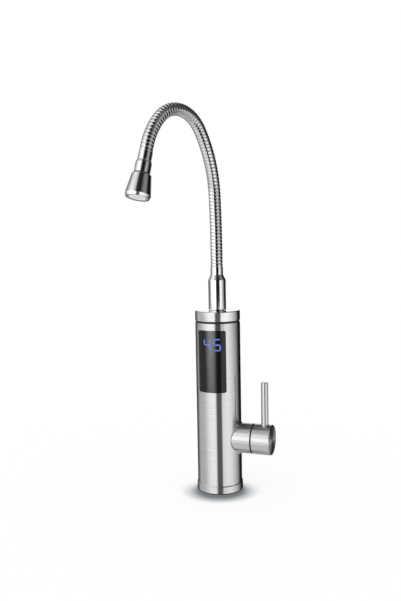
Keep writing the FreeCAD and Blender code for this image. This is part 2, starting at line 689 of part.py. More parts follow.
def valve():
    socket_top = FLANGE_TOP + INLET_SOCKET_HEIGHT
    cartridge_hole = CARTRIDGE_RADIUS + FIT
    body = cylinder(INLET_SOCKET_RADIUS, FLANGE_TOP, socket_top)
    body = body.fuse(cylinder(COLUMN_RADIUS, FLANGE_TOP, LEVER_HEIGHT))
    body = body.fuse(lying_cylinder(BARREL_RADIUS, -BARREL_END, BARREL_END))
    body = body.fuse(cylinder(RISER_BOSS_RADIUS, LEVER_HEIGHT, BOSS_TOP))
    body = body.fuse(cylinder(PLUNGER_BOSS_RADIUS, LEVER_HEIGHT, BOSS_TOP, -PLUNGER_OFFSET))
    body = body.cut(cylinder(THREAD_HOLE, FLANGE_TOP - 1, FLANGE_TOP + INLET_SOCKET_DEPTH))
    # Cold water comes up one passage to the lower port, and leaves by the other from the upper port.
    port_edge = PORT_OFFSET - PORT_RADIUS - GAP
    body = body.cut(cylinder(PASSAGE_RADIUS, FLANGE_TOP, LEVER_HEIGHT - port_edge, -PASSAGE_RADIUS))
    body = body.cut(cylinder(PASSAGE_RADIUS, LEVER_HEIGHT + port_edge, BOSS_TOP + 1))
    for start, height in ((-PASSAGE_RADIUS, LEVER_HEIGHT - PORT_OFFSET), (0, LEVER_HEIGHT + PORT_OFFSET)):
        body = body.cut(lying_cylinder(PORT_RADIUS, start, BARREL_FLOOR + 1, 0, height))
    body = body.cut(lying_cylinder(cartridge_hole, BARREL_FLOOR, BARREL_END + 1))
    body = body.cut(cylinder(TUBE_RADIUS + FIT, BOSS_TOP - RISER_SOCKET, BOSS_TOP + 1))
    # The plunger's well is fed from the outlet passage by a small side port below the plunger.
    well_bottom = BOSS_TOP - PLUNGER_DEPTH - PLUNGER_RADIUS
    body = body.cut(cylinder(PLUNGER_RADIUS + FIT, well_bottom, BOSS_TOP + 1, -PLUNGER_OFFSET))
    body = body.cut(lying_cylinder(PLUNGER_PORT_RADIUS, -PLUNGER_OFFSET, 0, 0,
                                   well_bottom + PLUNGER_PORT_RADIUS + GAP / 2))
    parts["valve_body"] = body.removeSplitter()

    cavity_end = BARREL_FLOOR + SEAM + DISC_CAVITY
    housing = lying_cylinder(CARTRIDGE_RADIUS, BARREL_FLOOR + SEAM, CARTRIDGE_FRONT)
    housing = housing.cut(lying_cylinder(DISC_RADIUS + SEAM, BARREL_FLOOR, cavity_end))
    parts["cartridge_housing"] = housing.cut(lying_cylinder(LEVER_STEM_RADIUS + FIT, 0, CARTRIDGE_FRONT + 1))

    fixed_end = BARREL_FLOOR + SEAM + DISC_THICKNESS
    turning_end = fixed_end + FIT + DISC_THICKNESS
    ports = Part.makeCompound([lying_cylinder(PORT_RADIUS, BARREL_FLOOR, turning_end + 1, 0,
                                              LEVER_HEIGHT + side * PORT_OFFSET) for side in (-1, 1)])
    parts["fixed_disc"] = lying_cylinder(DISC_RADIUS, BARREL_FLOOR + SEAM, fixed_end).cut(ports)
    groove = block(fixed_end, fixed_end + DISC_THICKNESS / 2, -DISC_SLOT_LENGTH / 2,
                   DISC_SLOT_LENGTH / 2, LEVER_HEIGHT - PORT_RADIUS, LEVER_HEIGHT + PORT_RADIUS)
    parts["turning_disc"] = lying_cylinder(DISC_RADIUS, fixed_end + FIT, turning_end).cut(groove)

    stem = lying_cylinder(DISC_RADIUS, turning_end, cavity_end - GAP)
    stem = stem.fuse(lying_cylinder(LEVER_STEM_RADIUS, turning_end, HUB_START))
    stem = stem.fuse(lying_cylinder(LEVER_SPLINE_RADIUS, turning_end, HUB_START + SPLINE_DEPTH))
    parts["cartridge_stem"] = stem.removeSplitter()

    bonnet = lying_cylinder(BARREL_RADIUS, BARREL_END, BONNET_END)
    bonnet = bonnet.cut(lying_cylinder(cartridge_hole, BARREL_END - 1, CARTRIDGE_FRONT))
    parts["bonnet_nut"] = bonnet.cut(lying_cylinder(LEVER_STEM_RADIUS + GAP, 0, BONNET_END + 1))

    pin_top = PLUNGER_HEAD_TOP + PLUNGER_PIN_LENGTH
    plunger = cylinder(PLUNGER_RADIUS, BOSS_TOP - PLUNGER_DEPTH, PLUNGER_HEAD_LOW, -PLUNGER_OFFSET)
    plunger = plunger.fuse(cylinder(PLUNGER_HEAD_RADIUS, PLUNGER_HEAD_LOW, PLUNGER_HEAD_TOP, -PLUNGER_OFFSET))
    plunger = plunger.fuse(cylinder(PLUNGER_PIN_RADIUS, PLUNGER_HEAD_LOW, pin_top, -PLUNGER_OFFSET))
    parts["switch_plunger"] = plunger.removeSplitter()
    switch = block(-PLUNGER_OFFSET - SWITCH_LENGTH / 2, -PLUNGER_OFFSET + SWITCH_LENGTH / 2,
                   -SWITCH_WIDTH / 2, SWITCH_WIDTH / 2, SWITCH_BOTTOM, TANK_BOTTOM)
    parts["flow_switch"] = switch.cut(cylinder(PLUNGER_PIN_RADIUS + FIT, SWITCH_BOTTOM - 1,
                                               pin_top + PLUNGER_TRAVEL + GAP, -PLUNGER_OFFSET))


# Lever

def lever():
    ring_outer = BRANCH_RADIUS - GAP_RING_INSET
    ring = lying_cylinder(ring_outer, BRANCH_REACH, BRANCH_REACH + GAP_RING_THICKNESS)
    ring_bore = BRANCH_RADIUS - BRANCH_WALL - GAP_RING_INSET
    parts["hub_gap_ring"] = ring.cut(lying_cylinder(ring_bore, 0, HUB_END))

    hub = lying_cylinder(BRANCH_RADIUS, HUB_START, HUB_END)
    rims = [e for e in hub.Edges if e.BoundBox.XLength < 1e-6]
    hub = hub.makeChamfer(HUB_EDGE, rims)
    hub = hub.cut(lying_cylinder(LEVER_STEM_RADIUS + GAP, 0, HUB_START + GAP))
    hub = hub.cut(lying_cylinder(LEVER_SPLINE_RADIUS + FIT, 0, HUB_START + SPLINE_DEPTH + GAP))
    hub = hub.cut(lying_cylinder(END_CAP_RADIUS + SEAM, HUB_END - END_CAP_THICKNESS, HUB_END + 1))
    rod_low = LEVER_HEIGHT + BRANCH_RADIUS - ROD_SOCKET
    rod_high = LEVER_HEIGHT + BRANCH_RADIUS + ROD_RISE
    hub = hub.cut(cylinder(ROD_RADIUS + FIT, rod_low, rod_high, ROD_REACH))
    screw_at = HUB_START + HUB_SCREW_FROM_START
    screw_low = LEVER_HEIGHT - BRANCH_RADIUS + HUB_EDGE
    screw_high = LEVER_HEIGHT - LEVER_SPLINE_RADIUS
    hub = hub.cut(cylinder(HUB_SCREW_RADIUS + FIT, screw_low - 2, LEVER_HEIGHT, screw_at))
    parts["handle_hub"] = hub
    parts["handle_screw"] = cylinder(HUB_SCREW_RADIUS, screw_low, screw_high - FIT, screw_at)

    cap = lying_cylinder(END_CAP_RADIUS, HUB_END - END_CAP_THICKNESS, HUB_END - SEAM)
    parts["handle_end_cap"] = cap
    rod = cylinder(ROD_RADIUS, rod_low, rod_high, ROD_REACH)
    ends = [e for e in rod.Edges if e.BoundBox.ZLength < 1e-6 and e.BoundBox.ZMax > rod_high - 1]
    parts["lever_rod"] = rod.makeFillet(ROD_EDGE, ends)
    print("lever axis height", LEVER_HEIGHT, "hub from", round(HUB_START, 3), "to", round(HUB_END, 3))


# Heater

def heater():
    bottom = TANK_BOTTOM
    shell_low = bottom + TANK_CAP
    shell_high = TANK_TOP - TANK_CAP
    inside = TANK_RADIUS - TANK_WALL
    spigot = inside - SEAM
    parts["tank_shell"] = tube(TANK_RADIUS, inside, shell_low, shell_high, 0, TANK_OFFSET)

    element_low = bottom - TERMINAL_LENGTH
    element_high = shell_high - ELEMENT_HEADROOM - ELEMENT_RADIUS - ELEMENT_SPREAD

    def element_legs(radius):
        return [cylinder(radius, element_low, element_high, side * ELEMENT_SPREAD, ELEMENT_OFFSET)
                for side in (-1, 1)]

    left_leg, right_leg = element_legs(ELEMENT_RADIUS)
    centre = FreeCAD.Vector(0, ELEMENT_OFFSET, element_high)
    bend = Part.makeTorus(ELEMENT_SPREAD, ELEMENT_RADIUS, centre, Y_AXIS)
    keep = 2 * (ELEMENT_SPREAD + ELEMENT_RADIUS)
    bend = bend.common(block(-keep, keep, ELEMENT_OFFSET - keep, ELEMENT_OFFSET + keep, element_high,
                             element_high + keep))
    parts["heating_element"] = left_leg.fuse([bend, right_leg]).removeSplitter()

    cap = cylinder(TANK_RADIUS, bottom, shell_low, 0, TANK_OFFSET)
    cap = cap.fuse(cylinder(spigot, bottom, shell_low + TANK_CAP_SPIGOT, 0, TANK_OFFSET))
    cap = cap.cut(cylinder(TUBE_RADIUS + FIT, bottom - 1, shell_high))
    parts["tank_bottom_cap"] = cap.cut(Part.makeCompound(element_legs(ELEMENT_RADIUS + FIT))).removeSplitter()

    lid = cylinder(TANK_RADIUS, shell_high, TANK_TOP, 0, TANK_OFFSET)
    lid = lid.fuse(cylinder(spigot, shell_high - TANK_CAP_SPIGOT, TANK_TOP, 0, TANK_OFFSET))
    lid = lid.cut(cylinder(TUBE_RADIUS + FIT, shell_low, TANK_TOP + 1))
    lid = lid.cut(cylinder(PROBE_RADIUS + FIT, shell_low, TANK_TOP + 1, PROBE_X, PROBE_Y))
    parts["tank_top_cap"] = lid.removeSplitter()

    parts["riser_tube"] = tube(TUBE_RADIUS, TUBE_BORE, BOSS_TOP - RISER_SOCKET, shell_low)
    parts["outlet_tube"] = tube(TUBE_RADIUS, TUBE_BORE, shell_high, SWIVEL_BOTTOM - 2 * GAP)
    parts["temperature_probe"] = cylinder(PROBE_RADIUS, TANK_TOP - PROBE_DEPTH, TANK_TOP + PROBE_RISE,
                                          PROBE_X, PROBE_Y)
    cutout_offset = SOCKET_RADIUS + CUTOUT_ROOM + CUTOUT_RADIUS
    parts["thermal_cutout"] = cylinder(CUTOUT_RADIUS, TANK_TOP, TANK_TOP + CUTOUT_HEIGHT, 0, cutout_offset)

    block_top = SPIGOT_TOP + TERMINAL_BLOCK_HEIGHT
    parts["terminal_block"] = block(-TERMINAL_BLOCK_WIDTH / 2, TERMINAL_BLOCK_WIDTH / 2,
                                    TERMINAL_BLOCK_BACK - TERMINAL_BLOCK_DEPTH, TERMINAL_BLOCK_BACK,
                                    SPIGOT_TOP, block_top)
    lead_offset = TERMINAL_BLOCK_BACK - LEAD_INSET
    leads = []
    for side in (-1, 1):
        x = side * ELEMENT_SPREAD
        points = [FreeCAD.Vector(x, lead_offset, block_top),
                  FreeCAD.Vector(x, lead_offset, element_low - LEAD_JOG),
                  FreeCAD.Vector(x, ELEMENT_OFFSET, element_low - LEAD_JOG / 3),
                  FreeCAD.Vector(x, ELEMENT_OFFSET, element_low)]
        leads.append(tube_path(points, LEAD_RADIUS, LEAD_BEND))
    parts["power_leads"] = Part.makeCompound(leads)


worktop_fixing()
base()
casing()
display()
top()
ferrule()
hose()
nozzle()
valve()
lever()
heater()

os.makedirs("parts", exist_ok=True)
whole = FreeCAD.BoundBox()
for name, shape in parts.items():
    shape.exportStep(f"parts/{name}.step")
    whole.add(shape.BoundBox)
    state = "" if shape.isValid() else "not valid"
    print(name, len(shape.Solids), "solid", round(shape.Volume, 1), "mm3", state)
print(len(parts), "nodes")
print("box", round(whole.XMin, 2), round(whole.YMin, 2), round(whole.ZMin, 2),
      round(whole.XMax, 2), round(whole.YMax, 2), round(whole.ZMax, 2))
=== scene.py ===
# %% [markdown]
# # A heater tap for the worktop
# The tap warms its own water: a steel column holds a small tank, a window shows the temperature, a lever at
# the side opens the valve, and a ribbed gooseneck carries the water to a bell nozzle.
# The imported model comes first. It is a frame of exact solids that are never moved or reshaped here.

# %% Load the imported model
import json
import math

import bpy
from mathutils import Matrix, Vector


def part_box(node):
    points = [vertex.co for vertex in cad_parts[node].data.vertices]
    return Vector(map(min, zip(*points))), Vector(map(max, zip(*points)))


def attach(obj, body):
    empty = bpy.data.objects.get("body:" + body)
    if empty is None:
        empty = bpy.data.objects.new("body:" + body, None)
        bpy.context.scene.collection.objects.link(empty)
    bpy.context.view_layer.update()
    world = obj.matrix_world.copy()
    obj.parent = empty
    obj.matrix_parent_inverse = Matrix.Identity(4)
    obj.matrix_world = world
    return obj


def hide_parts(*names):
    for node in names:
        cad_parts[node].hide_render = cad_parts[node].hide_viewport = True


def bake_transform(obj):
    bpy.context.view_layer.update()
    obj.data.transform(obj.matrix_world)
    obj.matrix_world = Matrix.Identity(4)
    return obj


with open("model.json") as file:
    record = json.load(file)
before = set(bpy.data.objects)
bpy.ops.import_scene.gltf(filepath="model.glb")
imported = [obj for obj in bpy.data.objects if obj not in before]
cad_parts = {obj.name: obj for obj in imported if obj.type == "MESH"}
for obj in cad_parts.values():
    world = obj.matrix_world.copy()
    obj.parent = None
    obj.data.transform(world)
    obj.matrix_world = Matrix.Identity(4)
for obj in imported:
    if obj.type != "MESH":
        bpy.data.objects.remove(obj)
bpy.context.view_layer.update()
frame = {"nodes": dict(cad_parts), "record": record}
nodes = frame["nodes"]

# %% [markdown]
# ## The camera
# A picture taken close up has perspective, so the camera needs its true distance, not only its direction.
# One could turn it by hand until the picture looks right. Here its distance, height and aim were worked out
# from the tap's own edges, so they are written as plain sizes, and the camera's three directions follow.

# %% Place the camera
IMAGE_HEIGHT = 601
FOCAL_PIXELS = 683.94
SENSOR_HEIGHT = 24.0
CAMERA_SIDE = math.radians(19.0)
CAMERA_DISTANCE = 0.79008
CAMERA_RISE = 0.29118
AIM_ASIDE = -0.0246
AIM_DOWN = 0.0869
CAMERA_ROLL = 0.0188
UP = Vector((0, 0, 1))

rightwards = Vector((math.cos(CAMERA_SIDE), math.sin(CAMERA_SIDE), 0))
away = Vector((-math.sin(CAMERA_SIDE), math.cos(CAMERA_SIDE), 0))
level_right = math.cos(AIM_ASIDE) * rightwards - math.sin(AIM_ASIDE) * away
level_ahead = math.sin(AIM_ASIDE) * rightwards + math.cos(AIM_ASIDE) * away
ahead = math.cos(AIM_DOWN) * level_ahead - math.sin(AIM_DOWN) * UP
tilted_up = math.sin(AIM_DOWN) * level_ahead + math.cos(AIM_DOWN) * UP
camera_right = math.cos(CAMERA_ROLL) * level_right - math.sin(CAMERA_ROLL) * tilted_up
camera_up = math.sin(CAMERA_ROLL) * level_right + math.cos(CAMERA_ROLL) * tilted_up


def place_object(name, data):
    """Makes an object from a mesh or a lens and puts it in the scene."""
    made = bpy.data.objects.new(name, data)
    bpy.context.scene.collection.objects.link(made)
    return made


lens = bpy.data.cameras.new("camera")
lens.sensor_fit = "VERTICAL"
lens.sensor_height = SENSOR_HEIGHT
lens.lens = SENSOR_HEIGHT * FOCAL_PIXELS / IMAGE_HEIGHT
camera = place_object("camera", lens)
turn = Matrix((camera_right, camera_up, -ahead)).transposed().to_4x4()
camera.matrix_world = Matrix.Translation(CAMERA_RISE * UP - CAMERA_DISTANCE * away) @ turn
bpy.context.scene.camera = camera
bpy.context.scene.view_settings.view_transform = "Standard"
print("camera with a lens of", round(lens.lens, 2), "mm at", [round(v, 3) for v in camera.location])

# %% [markdown]
# ## Wiring nodes
# Materials, the sky and Geometry Nodes are all trees of nodes. They can be wired by hand in the editor.
# In a script a few small helpers save many lines. One fills a node's inputs, each with a value or with a wire
# from another node's output, and one adds a node and fills it. The others wrap nodes that come again and again.

# %% Helpers that add nodes
MIX_SOCKETS = {"FLOAT": (2, 3, 0), "VECTOR": (4, 5, 1), "RGBA": (6, 7, 2)}


def fill(tree, node, inputs):
    for key, value in inputs.items():
        if isinstance(value, bpy.types.NodeSocket):
            tree.links.new(value, node.inputs[key])
        else:
            node.inputs[key].default_value = value


def add(tree, kind, inputs=None, **settings):
    made = tree.nodes.new(kind)
    for key, value in settings.items():
        setattr(made, key, value)
    fill(tree, made, inputs or {})
    return made


def reckon(tree, operation, first, second=0.0):
    return add(tree, "ShaderNodeMath", {0: first, 1: second}, operation=operation).outputs[0]


def vectors(tree, operation, first, second=(0, 0, 0)):
    made = add(tree, "ShaderNodeVectorMath", {0: first, 1: second}, operation=operation)
    return made.outputs["Value" if operation in ("LENGTH", "DOT_PRODUCT") else "Vector"]


def split(tree, vector):
    return add(tree, "ShaderNodeSeparateXYZ", {0: vector}).outputs


def join(tree, x, y, z):
    return add(tree, "ShaderNodeCombineXYZ", {0: x, 1: y, 2: z}).outputs[0]


def spread(tree, value, low, high, to_low=0.0, to_high=1.0, kind="SMOOTHSTEP"):
    """Maps a value from one range to another."""
    ranges = {"Value": value, "From Min": low, "From Max": high, "To Min": to_low, "To Max": to_high}
    return add(tree, "ShaderNodeMapRange", ranges, interpolation_type=kind).outputs["Result"]


def mix(tree, share, first, second, kind="RGBA"):
    """Goes from the first value to the second as the share goes from 0 to 1."""
    first_at, second_at, result_at = MIX_SOCKETS[kind]
    made = add(tree, "ShaderNodeMix", {0: share, first_at: first, second_at: second}, data_type=kind)
    return made.outputs[result_at]


print("node helpers are ready, with", len(MIX_SOCKETS), "kinds of mix")

# %% [markdown]
# ## The studio
# Polished metal has hardly a colour of its own: it shows the room. Product pictures are taken in a white
# tent with black cards, and the cards draw the dark lines down a chrome tube. One could build the tent and its
# cards as objects, but then they would stand in the picture. Here the sky plays the tent, and its cards are six
# lists of brightness at angles round the tap, counted from the camera. There is a narrow dark card at the
# camera, a wide white wall at the left, a narrower one at the right, and black behind the right edge.

# %% The cards
CARDS_TOP = [(-180, 0.08), (-150, 0.25), (-125, 0.4), (-70, 0.64), (-45, 0.68), (-30, 0.5), (-18, 0.25),
             (-9, 0.03), (34, 0.03), (48, 0.1), (62, 0.14), (90, 0.08), (125, 0.04), (180, 0.05)]
CARDS_HIGH = [(-180, 0.06), (-140, 0.2), (-105, 0.55), (-80, 1.08), (-56, 1.25), (-35, 1.15), (-20, 0.6),
              (-10, 0.06), (0, 0.015), (34, 0.01), (47, 0.1), (60, 0.2), (82, 0.25), (95, 0.1), (110, 0.04),
              (125, 0.02), (180, 0.03)]
CARDS_UPPER = [(-180, 0.15), (-150, 0.2), (-117, 0.5), (-94, 0.95), (-77, 1.3), (-60, 1.5), (-26, 1.5),
               (-16, 0.04), (-4, 0.008), (23, 0.008), (33, 0.3), (43, 0.55), (56, 0.52), (70, 0.36),
               (84, 0.13), (98, 0.03), (112, 0.005), (180, 0.005)]
CARDS_TUBE = [(-180, 0.1), (-150, 0.12), (-117, 0.16), (-94, 0.55), (-77, 1.15), (-60, 1.45), (-18, 1.45),
              (-11, 0.03), (10, 0.008), (30, 0.008), (36, 0.85), (42, 1.15), (54, 1.05), (64, 0.8),
              (81, 0.43), (98, 0.14), (110, 0.02), (122, 0.006), (180, 0.006)]
CARDS_COLUMN = [(-180, 0.02), (-150, 0.05), (-132, 0.2), (-119, 0.48), (-103, 0.48), (-86, 0.48), (-73, 0.56),
                (-60, 0.76), (-45, 0.94), (-26, 0.98), (-17, 0.92), (-10, 0.12), (12, 0.12), (18, 0.98),
                (32, 1.03), (46, 0.98), (60, 0.90), (70, 0.80), (80, 0.68), (101, 0.42), (116, 0.17),
                (125, 0.03), (132, 0.004), (180, 0.01)]
CARDS_LOW = [(-180, 0.4), (-145, 0.4), (-110, 0.45), (-86, 0.6), (-70, 0.7), (-48, 0.7), (-19, 0.7),
             (-13, 0.03), (34, 0.03), (44, 0.45), (62, 0.65), (105, 0.45), (128, 0.3), (152, 0.4), (180, 0.4)]
CARD_BANDS = [(CARDS_COLUMN, -32, -22), (CARDS_TUBE, -5.8, -5.5), (CARDS_UPPER, -2.8, -0.3),
              (CARDS_HIGH, 14, 24), (CARDS_TOP, 38, 52)]

world = bpy.data.worlds.new("studio")
world.use_nodes = True
bpy.context.scene.world = world
sky = world.node_tree
sky.nodes.clear()


def card_ramp(stops, share):
    """A ramp all round the tap, from stops of degrees from the camera and brightness."""
    made = add(sky, "ShaderNodeValToRGB", {"Fac": share})
    ramp = made.color_ramp
    while len(ramp.elements) < len(stops):
        ramp.elements.new(1.0)
    for element, (degrees, level) in zip(ramp.elements, stops):
        element.position = degrees / 360 + 0.5
        element.color = (level, level, level, 1)
    return made.outputs["Color"]


print("cards for", len(CARD_BANDS) + 1, "bands of heights")

# %% [markdown]
# The bands lie over each other from below: first what the undersides meet, then what the column meets, what the
# level tubes meet, two above, and the ceiling. Each fades in over a short span of height. A white slot far
# behind lights the flat top of the cap. Only mirrored rays meet the cards. What the camera sees of the sky is
# plain white, and so is its light on matt things.

# %% The sky
WHITE = (1, 1, 1, 1)
SLOT_FOOT = (-4, -1)
SLOT_HEAD = (26, 22)
SLOT_SIDES = (172, 176)

direction = add(sky, "ShaderNodeTexCoord").outputs["Generated"]
seen = add(sky, "ShaderNodeVectorRotate", {"Vector": direction, "Axis": UP, "Angle": -CAMERA_SIDE},
           rotation_type="AXIS_ANGLE").outputs["Vector"]
seen_parts = split(sky, seen)
round_angle = reckon(sky, "ARCTAN2", seen_parts["X"], reckon(sky, "MULTIPLY", seen_parts["Y"], -1.0))
round_share = reckon(sky, "ADD", reckon(sky, "DIVIDE", round_angle, 2 * math.pi), 0.5)
height = reckon(sky, "DEGREES", reckon(sky, "ARCSINE", seen_parts["Z"]))
cards = card_ramp(CARDS_LOW, round_share)
for band_stops, fade_start, fade_end in CARD_BANDS:
    cards = mix(sky, spread(sky, height, fade_start, fade_end), cards, card_ramp(band_stops, round_share))
from_camera = reckon(sky, "DEGREES", reckon(sky, "ABSOLUTE", round_angle))
slot_height = reckon(sky, "MULTIPLY", spread(sky, height, *SLOT_FOOT), spread(sky, height, *SLOT_HEAD))
slot = reckon(sky, "MULTIPLY", slot_height, spread(sky, from_camera, *SLOT_SIDES))
mirrored = add(sky, "ShaderNodeLightPath").outputs["Is Glossy Ray"]
shown = mix(sky, mirrored, WHITE, mix(sky, slot, cards, WHITE))
tent = add(sky, "ShaderNodeBackground", {"Color": shown, "Strength": 1.0})
add(sky, "ShaderNodeOutputWorld", {"Surface": tent.outputs[0]})
print("the sky has", len(sky.nodes), "nodes")

# %% [markdown]
# ## The floor
# The tap stands on a pale floor that fades into the white background and keeps only the soft shadow at the
# base. A plane a few metres wide is enough. Most of its light is its own, so that it stays white far away. That
# light is dimmed where the tap, close by, hides much of what comes from above and behind, and this gives the
# narrow, bluish contact shadow in front. Mirrored rays pass the floor by and see the cards, which run on below
# as they do under a clear plate.

# %% Lay the floor
FLOOR_HALF = 4.0
FLOOR_WHITE = (0.99, 0.99, 1.0, 1)
MATT_SHARE = 0.2
SHADOW_REACH = 0.028
SHADOW_LEAN = 1.6
SHADOW_SAMPLES = 16
SHADOW_TINT = (0.05, 0.065, 0.08, 1)
SHADOW_ENDS = (0.60, 0.95)
NOISE_ENDS = (0.3, 0.7)


def bare_finish(name):
    made = bpy.data.materials.new(name)
    made.use_nodes = True
    made.node_tree.nodes.clear()
    return made, made.node_tree


def two_tone(tree, share, first, second, ends=NOISE_ENDS):
    """Goes from one colour to another between the two ends of the share."""
    made = add(tree, "ShaderNodeValToRGB", {"Fac": share})
    for element, position, colour in zip(made.color_ramp.elements, ends, (first, second)):
        element.position, element.color = position, colour
    return made.outputs["Color"]


def floor_finish(name):
    made, tree = bare_finish(name)
    tilted = vectors(tree, "NORMALIZE", (SHADOW_LEAN * away.x, SHADOW_LEAN * away.y, 1.0))
    hidden = add(tree, "ShaderNodeAmbientOcclusion", {"Distance": SHADOW_REACH, "Normal": tilted},
                 samples=SHADOW_SAMPLES).outputs["AO"]
    shaded = two_tone(tree, hidden, SHADOW_TINT, WHITE, SHADOW_ENDS)
    own = add(tree, "ShaderNodeEmission", {"Color": shaded, "Strength": 1.0})
    matt = add(tree, "ShaderNodeBsdfDiffuse", {"Color": FLOOR_WHITE})
    both = add(tree, "ShaderNodeMixShader", {0: MATT_SHARE, 1: own.outputs[0], 2: matt.outputs[0]})
    add(tree, "ShaderNodeOutputMaterial", {"Surface": both.outputs[0]})
    return made


floor_corners = [(x * FLOOR_HALF, y * FLOOR_HALF, 0) for x, y in ((-1, -1), (1, -1), (1, 1), (-1, 1))]
floor_mesh = bpy.data.meshes.new("floor")
floor_mesh.from_pydata(floor_corners, [], [(0, 1, 2, 3)])
floor_mesh.materials.append(floor_finish("pale_floor"))
floor = place_object("floor", floor_mesh)
floor.visible_glossy = False
print("floor", 2 * FLOOR_HALF, "m wide")

# %% [markdown]
# ## The grain of turned steel
# Steel that is brushed while it turns has fine lines round its axis. Each line is a tiny groove, so a
# highlight smears across the grooves and stays sharp along them. The shader has that as anisotropy, and
# it wants to know the smear's direction at each point. A drawn direction map would do, but a rule is better:
# the groove runs round the axis, and the smear is square to the groove and to the surface. The same group
# gives the lines, as noise that changes quickly along the axis and outwards, and slowly round it.

# %% A node group for turned grain
GRAIN_DRIFT = 30.0
GRAIN_DETAIL = 5.0
GRAIN_HARSHNESS = 0.7


def sockets(tree, kind, *labels, way="INPUT"):
    """Gives a tree its named inputs or outputs of one kind."""
    for label in labels:
        tree.interface.new_socket(label, in_out=way, socket_type="NodeSocket" + kind)


def noise(tree, place, scale, detail, **more):
    values = dict(more, Vector=place, Scale=scale, Detail=detail)
    return add(tree, "ShaderNodeTexNoise", values).outputs["Fac"]


grain = bpy.data.node_groups.new("turned grain", "ShaderNodeTree")
sockets(grain, "Vector", "Axis", "Centre")
sockets(grain, "Float", "Lines")
sockets(grain, "Vector", "Tangent", way="OUTPUT")
sockets(grain, "Float", "Streaks", way="OUTPUT")
asked = add(grain, "NodeGroupInput").outputs
place = add(grain, "ShaderNodeTexCoord").outputs
offset = vectors(grain, "SUBTRACT", place["Object"], asked["Centre"])
groove = vectors(grain, "CROSS_PRODUCT", asked["Axis"], offset)
smear = vectors(grain, "NORMALIZE", vectors(grain, "CROSS_PRODUCT", groove, place["Normal"]))
smear_world = add(grain, "ShaderNodeVectorTransform", {0: smear}, vector_type="VECTOR", convert_from="OBJECT",
                  convert_to="WORLD").outputs[0]
along = vectors(grain, "DOT_PRODUCT", offset, asked["Axis"])
outwards = vectors(grain, "LENGTH", groove)
count = reckon(grain, "MULTIPLY", reckon(grain, "ADD", along, outwards), asked["Lines"])
slow = add(grain, "ShaderNodeVectorMath", {0: offset, "Scale": GRAIN_DRIFT}, operation="SCALE").outputs[0]
grain_place = vectors(grain, "ADD", slow, join(grain, count, 0.0, count))
streaks = noise(grain, grain_place, 1.0, GRAIN_DETAIL, Roughness=GRAIN_HARSHNESS)
add(grain, "NodeGroupOutput", {"Tangent": smear_world, "Streaks": streaks})
print("turned grain group with", len(grain.nodes), "nodes")

# %% [markdown]
# ## Brushed steel
# The column, its cap and base ring, the hub and the rod are stainless steel with a satin grain. A photographed
# texture could be laid on, but it would need a seam. The grain group has none, so it does the work. The colour
# hardly varies, but the grain breaks up the shine: the streaks drive colour, roughness and a very low bump.

# %% A recipe for satin steel
STEEL_DARK = (0.74, 0.74, 0.745, 1)
STEEL_PALE = (0.86, 0.86, 0.865, 1)
GRAIN_LINES = 900.0
GRAIN_SMEAR = 0.92
GRAIN_BUMP = 0.03
GRAIN_DEPTH = 0.00002


def new_finish(name):
    made, tree = bare_finish(name)
    shader = add(tree, "ShaderNodeBsdfPrincipled")
    add(tree, "ShaderNodeOutputMaterial", {"Surface": shader.outputs[0]})
    return made, tree, shader


def grain_round(tree, axis, centre):
    values = {"Axis": axis, "Centre": centre, "Lines": GRAIN_LINES}
    made = add(tree, "ShaderNodeGroup", values, node_tree=grain)
    return made.outputs["Tangent"], made.outputs["Streaks"]


def satin(tree, shader, tangent, streak, rough, dark=STEEL_DARK, pale=STEEL_PALE):
    """Wires a satin metal's colour, roughness, smear and bump to its grain."""
    bump = add(tree, "ShaderNodeBump", {"Height": streak, "Strength": GRAIN_BUMP, "Distance": GRAIN_DEPTH})
    fill(tree, shader, {"Base Color": two_tone(tree, streak, dark, pale), "Metallic": 1.0,
                        "Roughness": spread(tree, streak, *NOISE_ENDS, *rough, kind="LINEAR"),
                        "Normal": bump.outputs[0], "Tangent": tangent, "Anisotropic": GRAIN_SMEAR})


def turned_steel(name, axis, centre, rough, *tones):
    made, tree, shader = new_finish(name)
    tangent, streak = grain_round(tree, axis, centre)
    satin(tree, shader, tangent, streak, rough, *tones)
    return made


print("satin steel has", GRAIN_LINES, "lines to the metre")

# %% [markdown]
# The side branch is turned round its own axis, so on the casing two grains meet at the fillet. Two materials
# would need a cut in the solid. One material can tell the two apart by place: near the branch's axis, and
# further out than the column's middle, the branch's grain and its duller satin take over.

# %% The casing's two grains
COLUMN_AXIS = (0, 0, 1)
COLUMN_CENTRE = (0, 0, 0)
COLUMN_SATIN = (0.14, 0.18)
BRANCH_AXIS = (1, 0, 0)
BRANCH_START = 0.012
HUB_SATIN = (0.23, 0.28)
FILLET_OUTER = 1.06
FILLET_INNER = 1.01
hub_low, hub_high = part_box("handle_hub")
LEVER_CENTRE = (0, 0, (hub_low.z + hub_high.z) / 2)
BRANCH_RADIUS = (hub_high.z - hub_low.z) / 2


def own_place(tree):
    return add(tree, "ShaderNodeTexCoord").outputs["Object"]


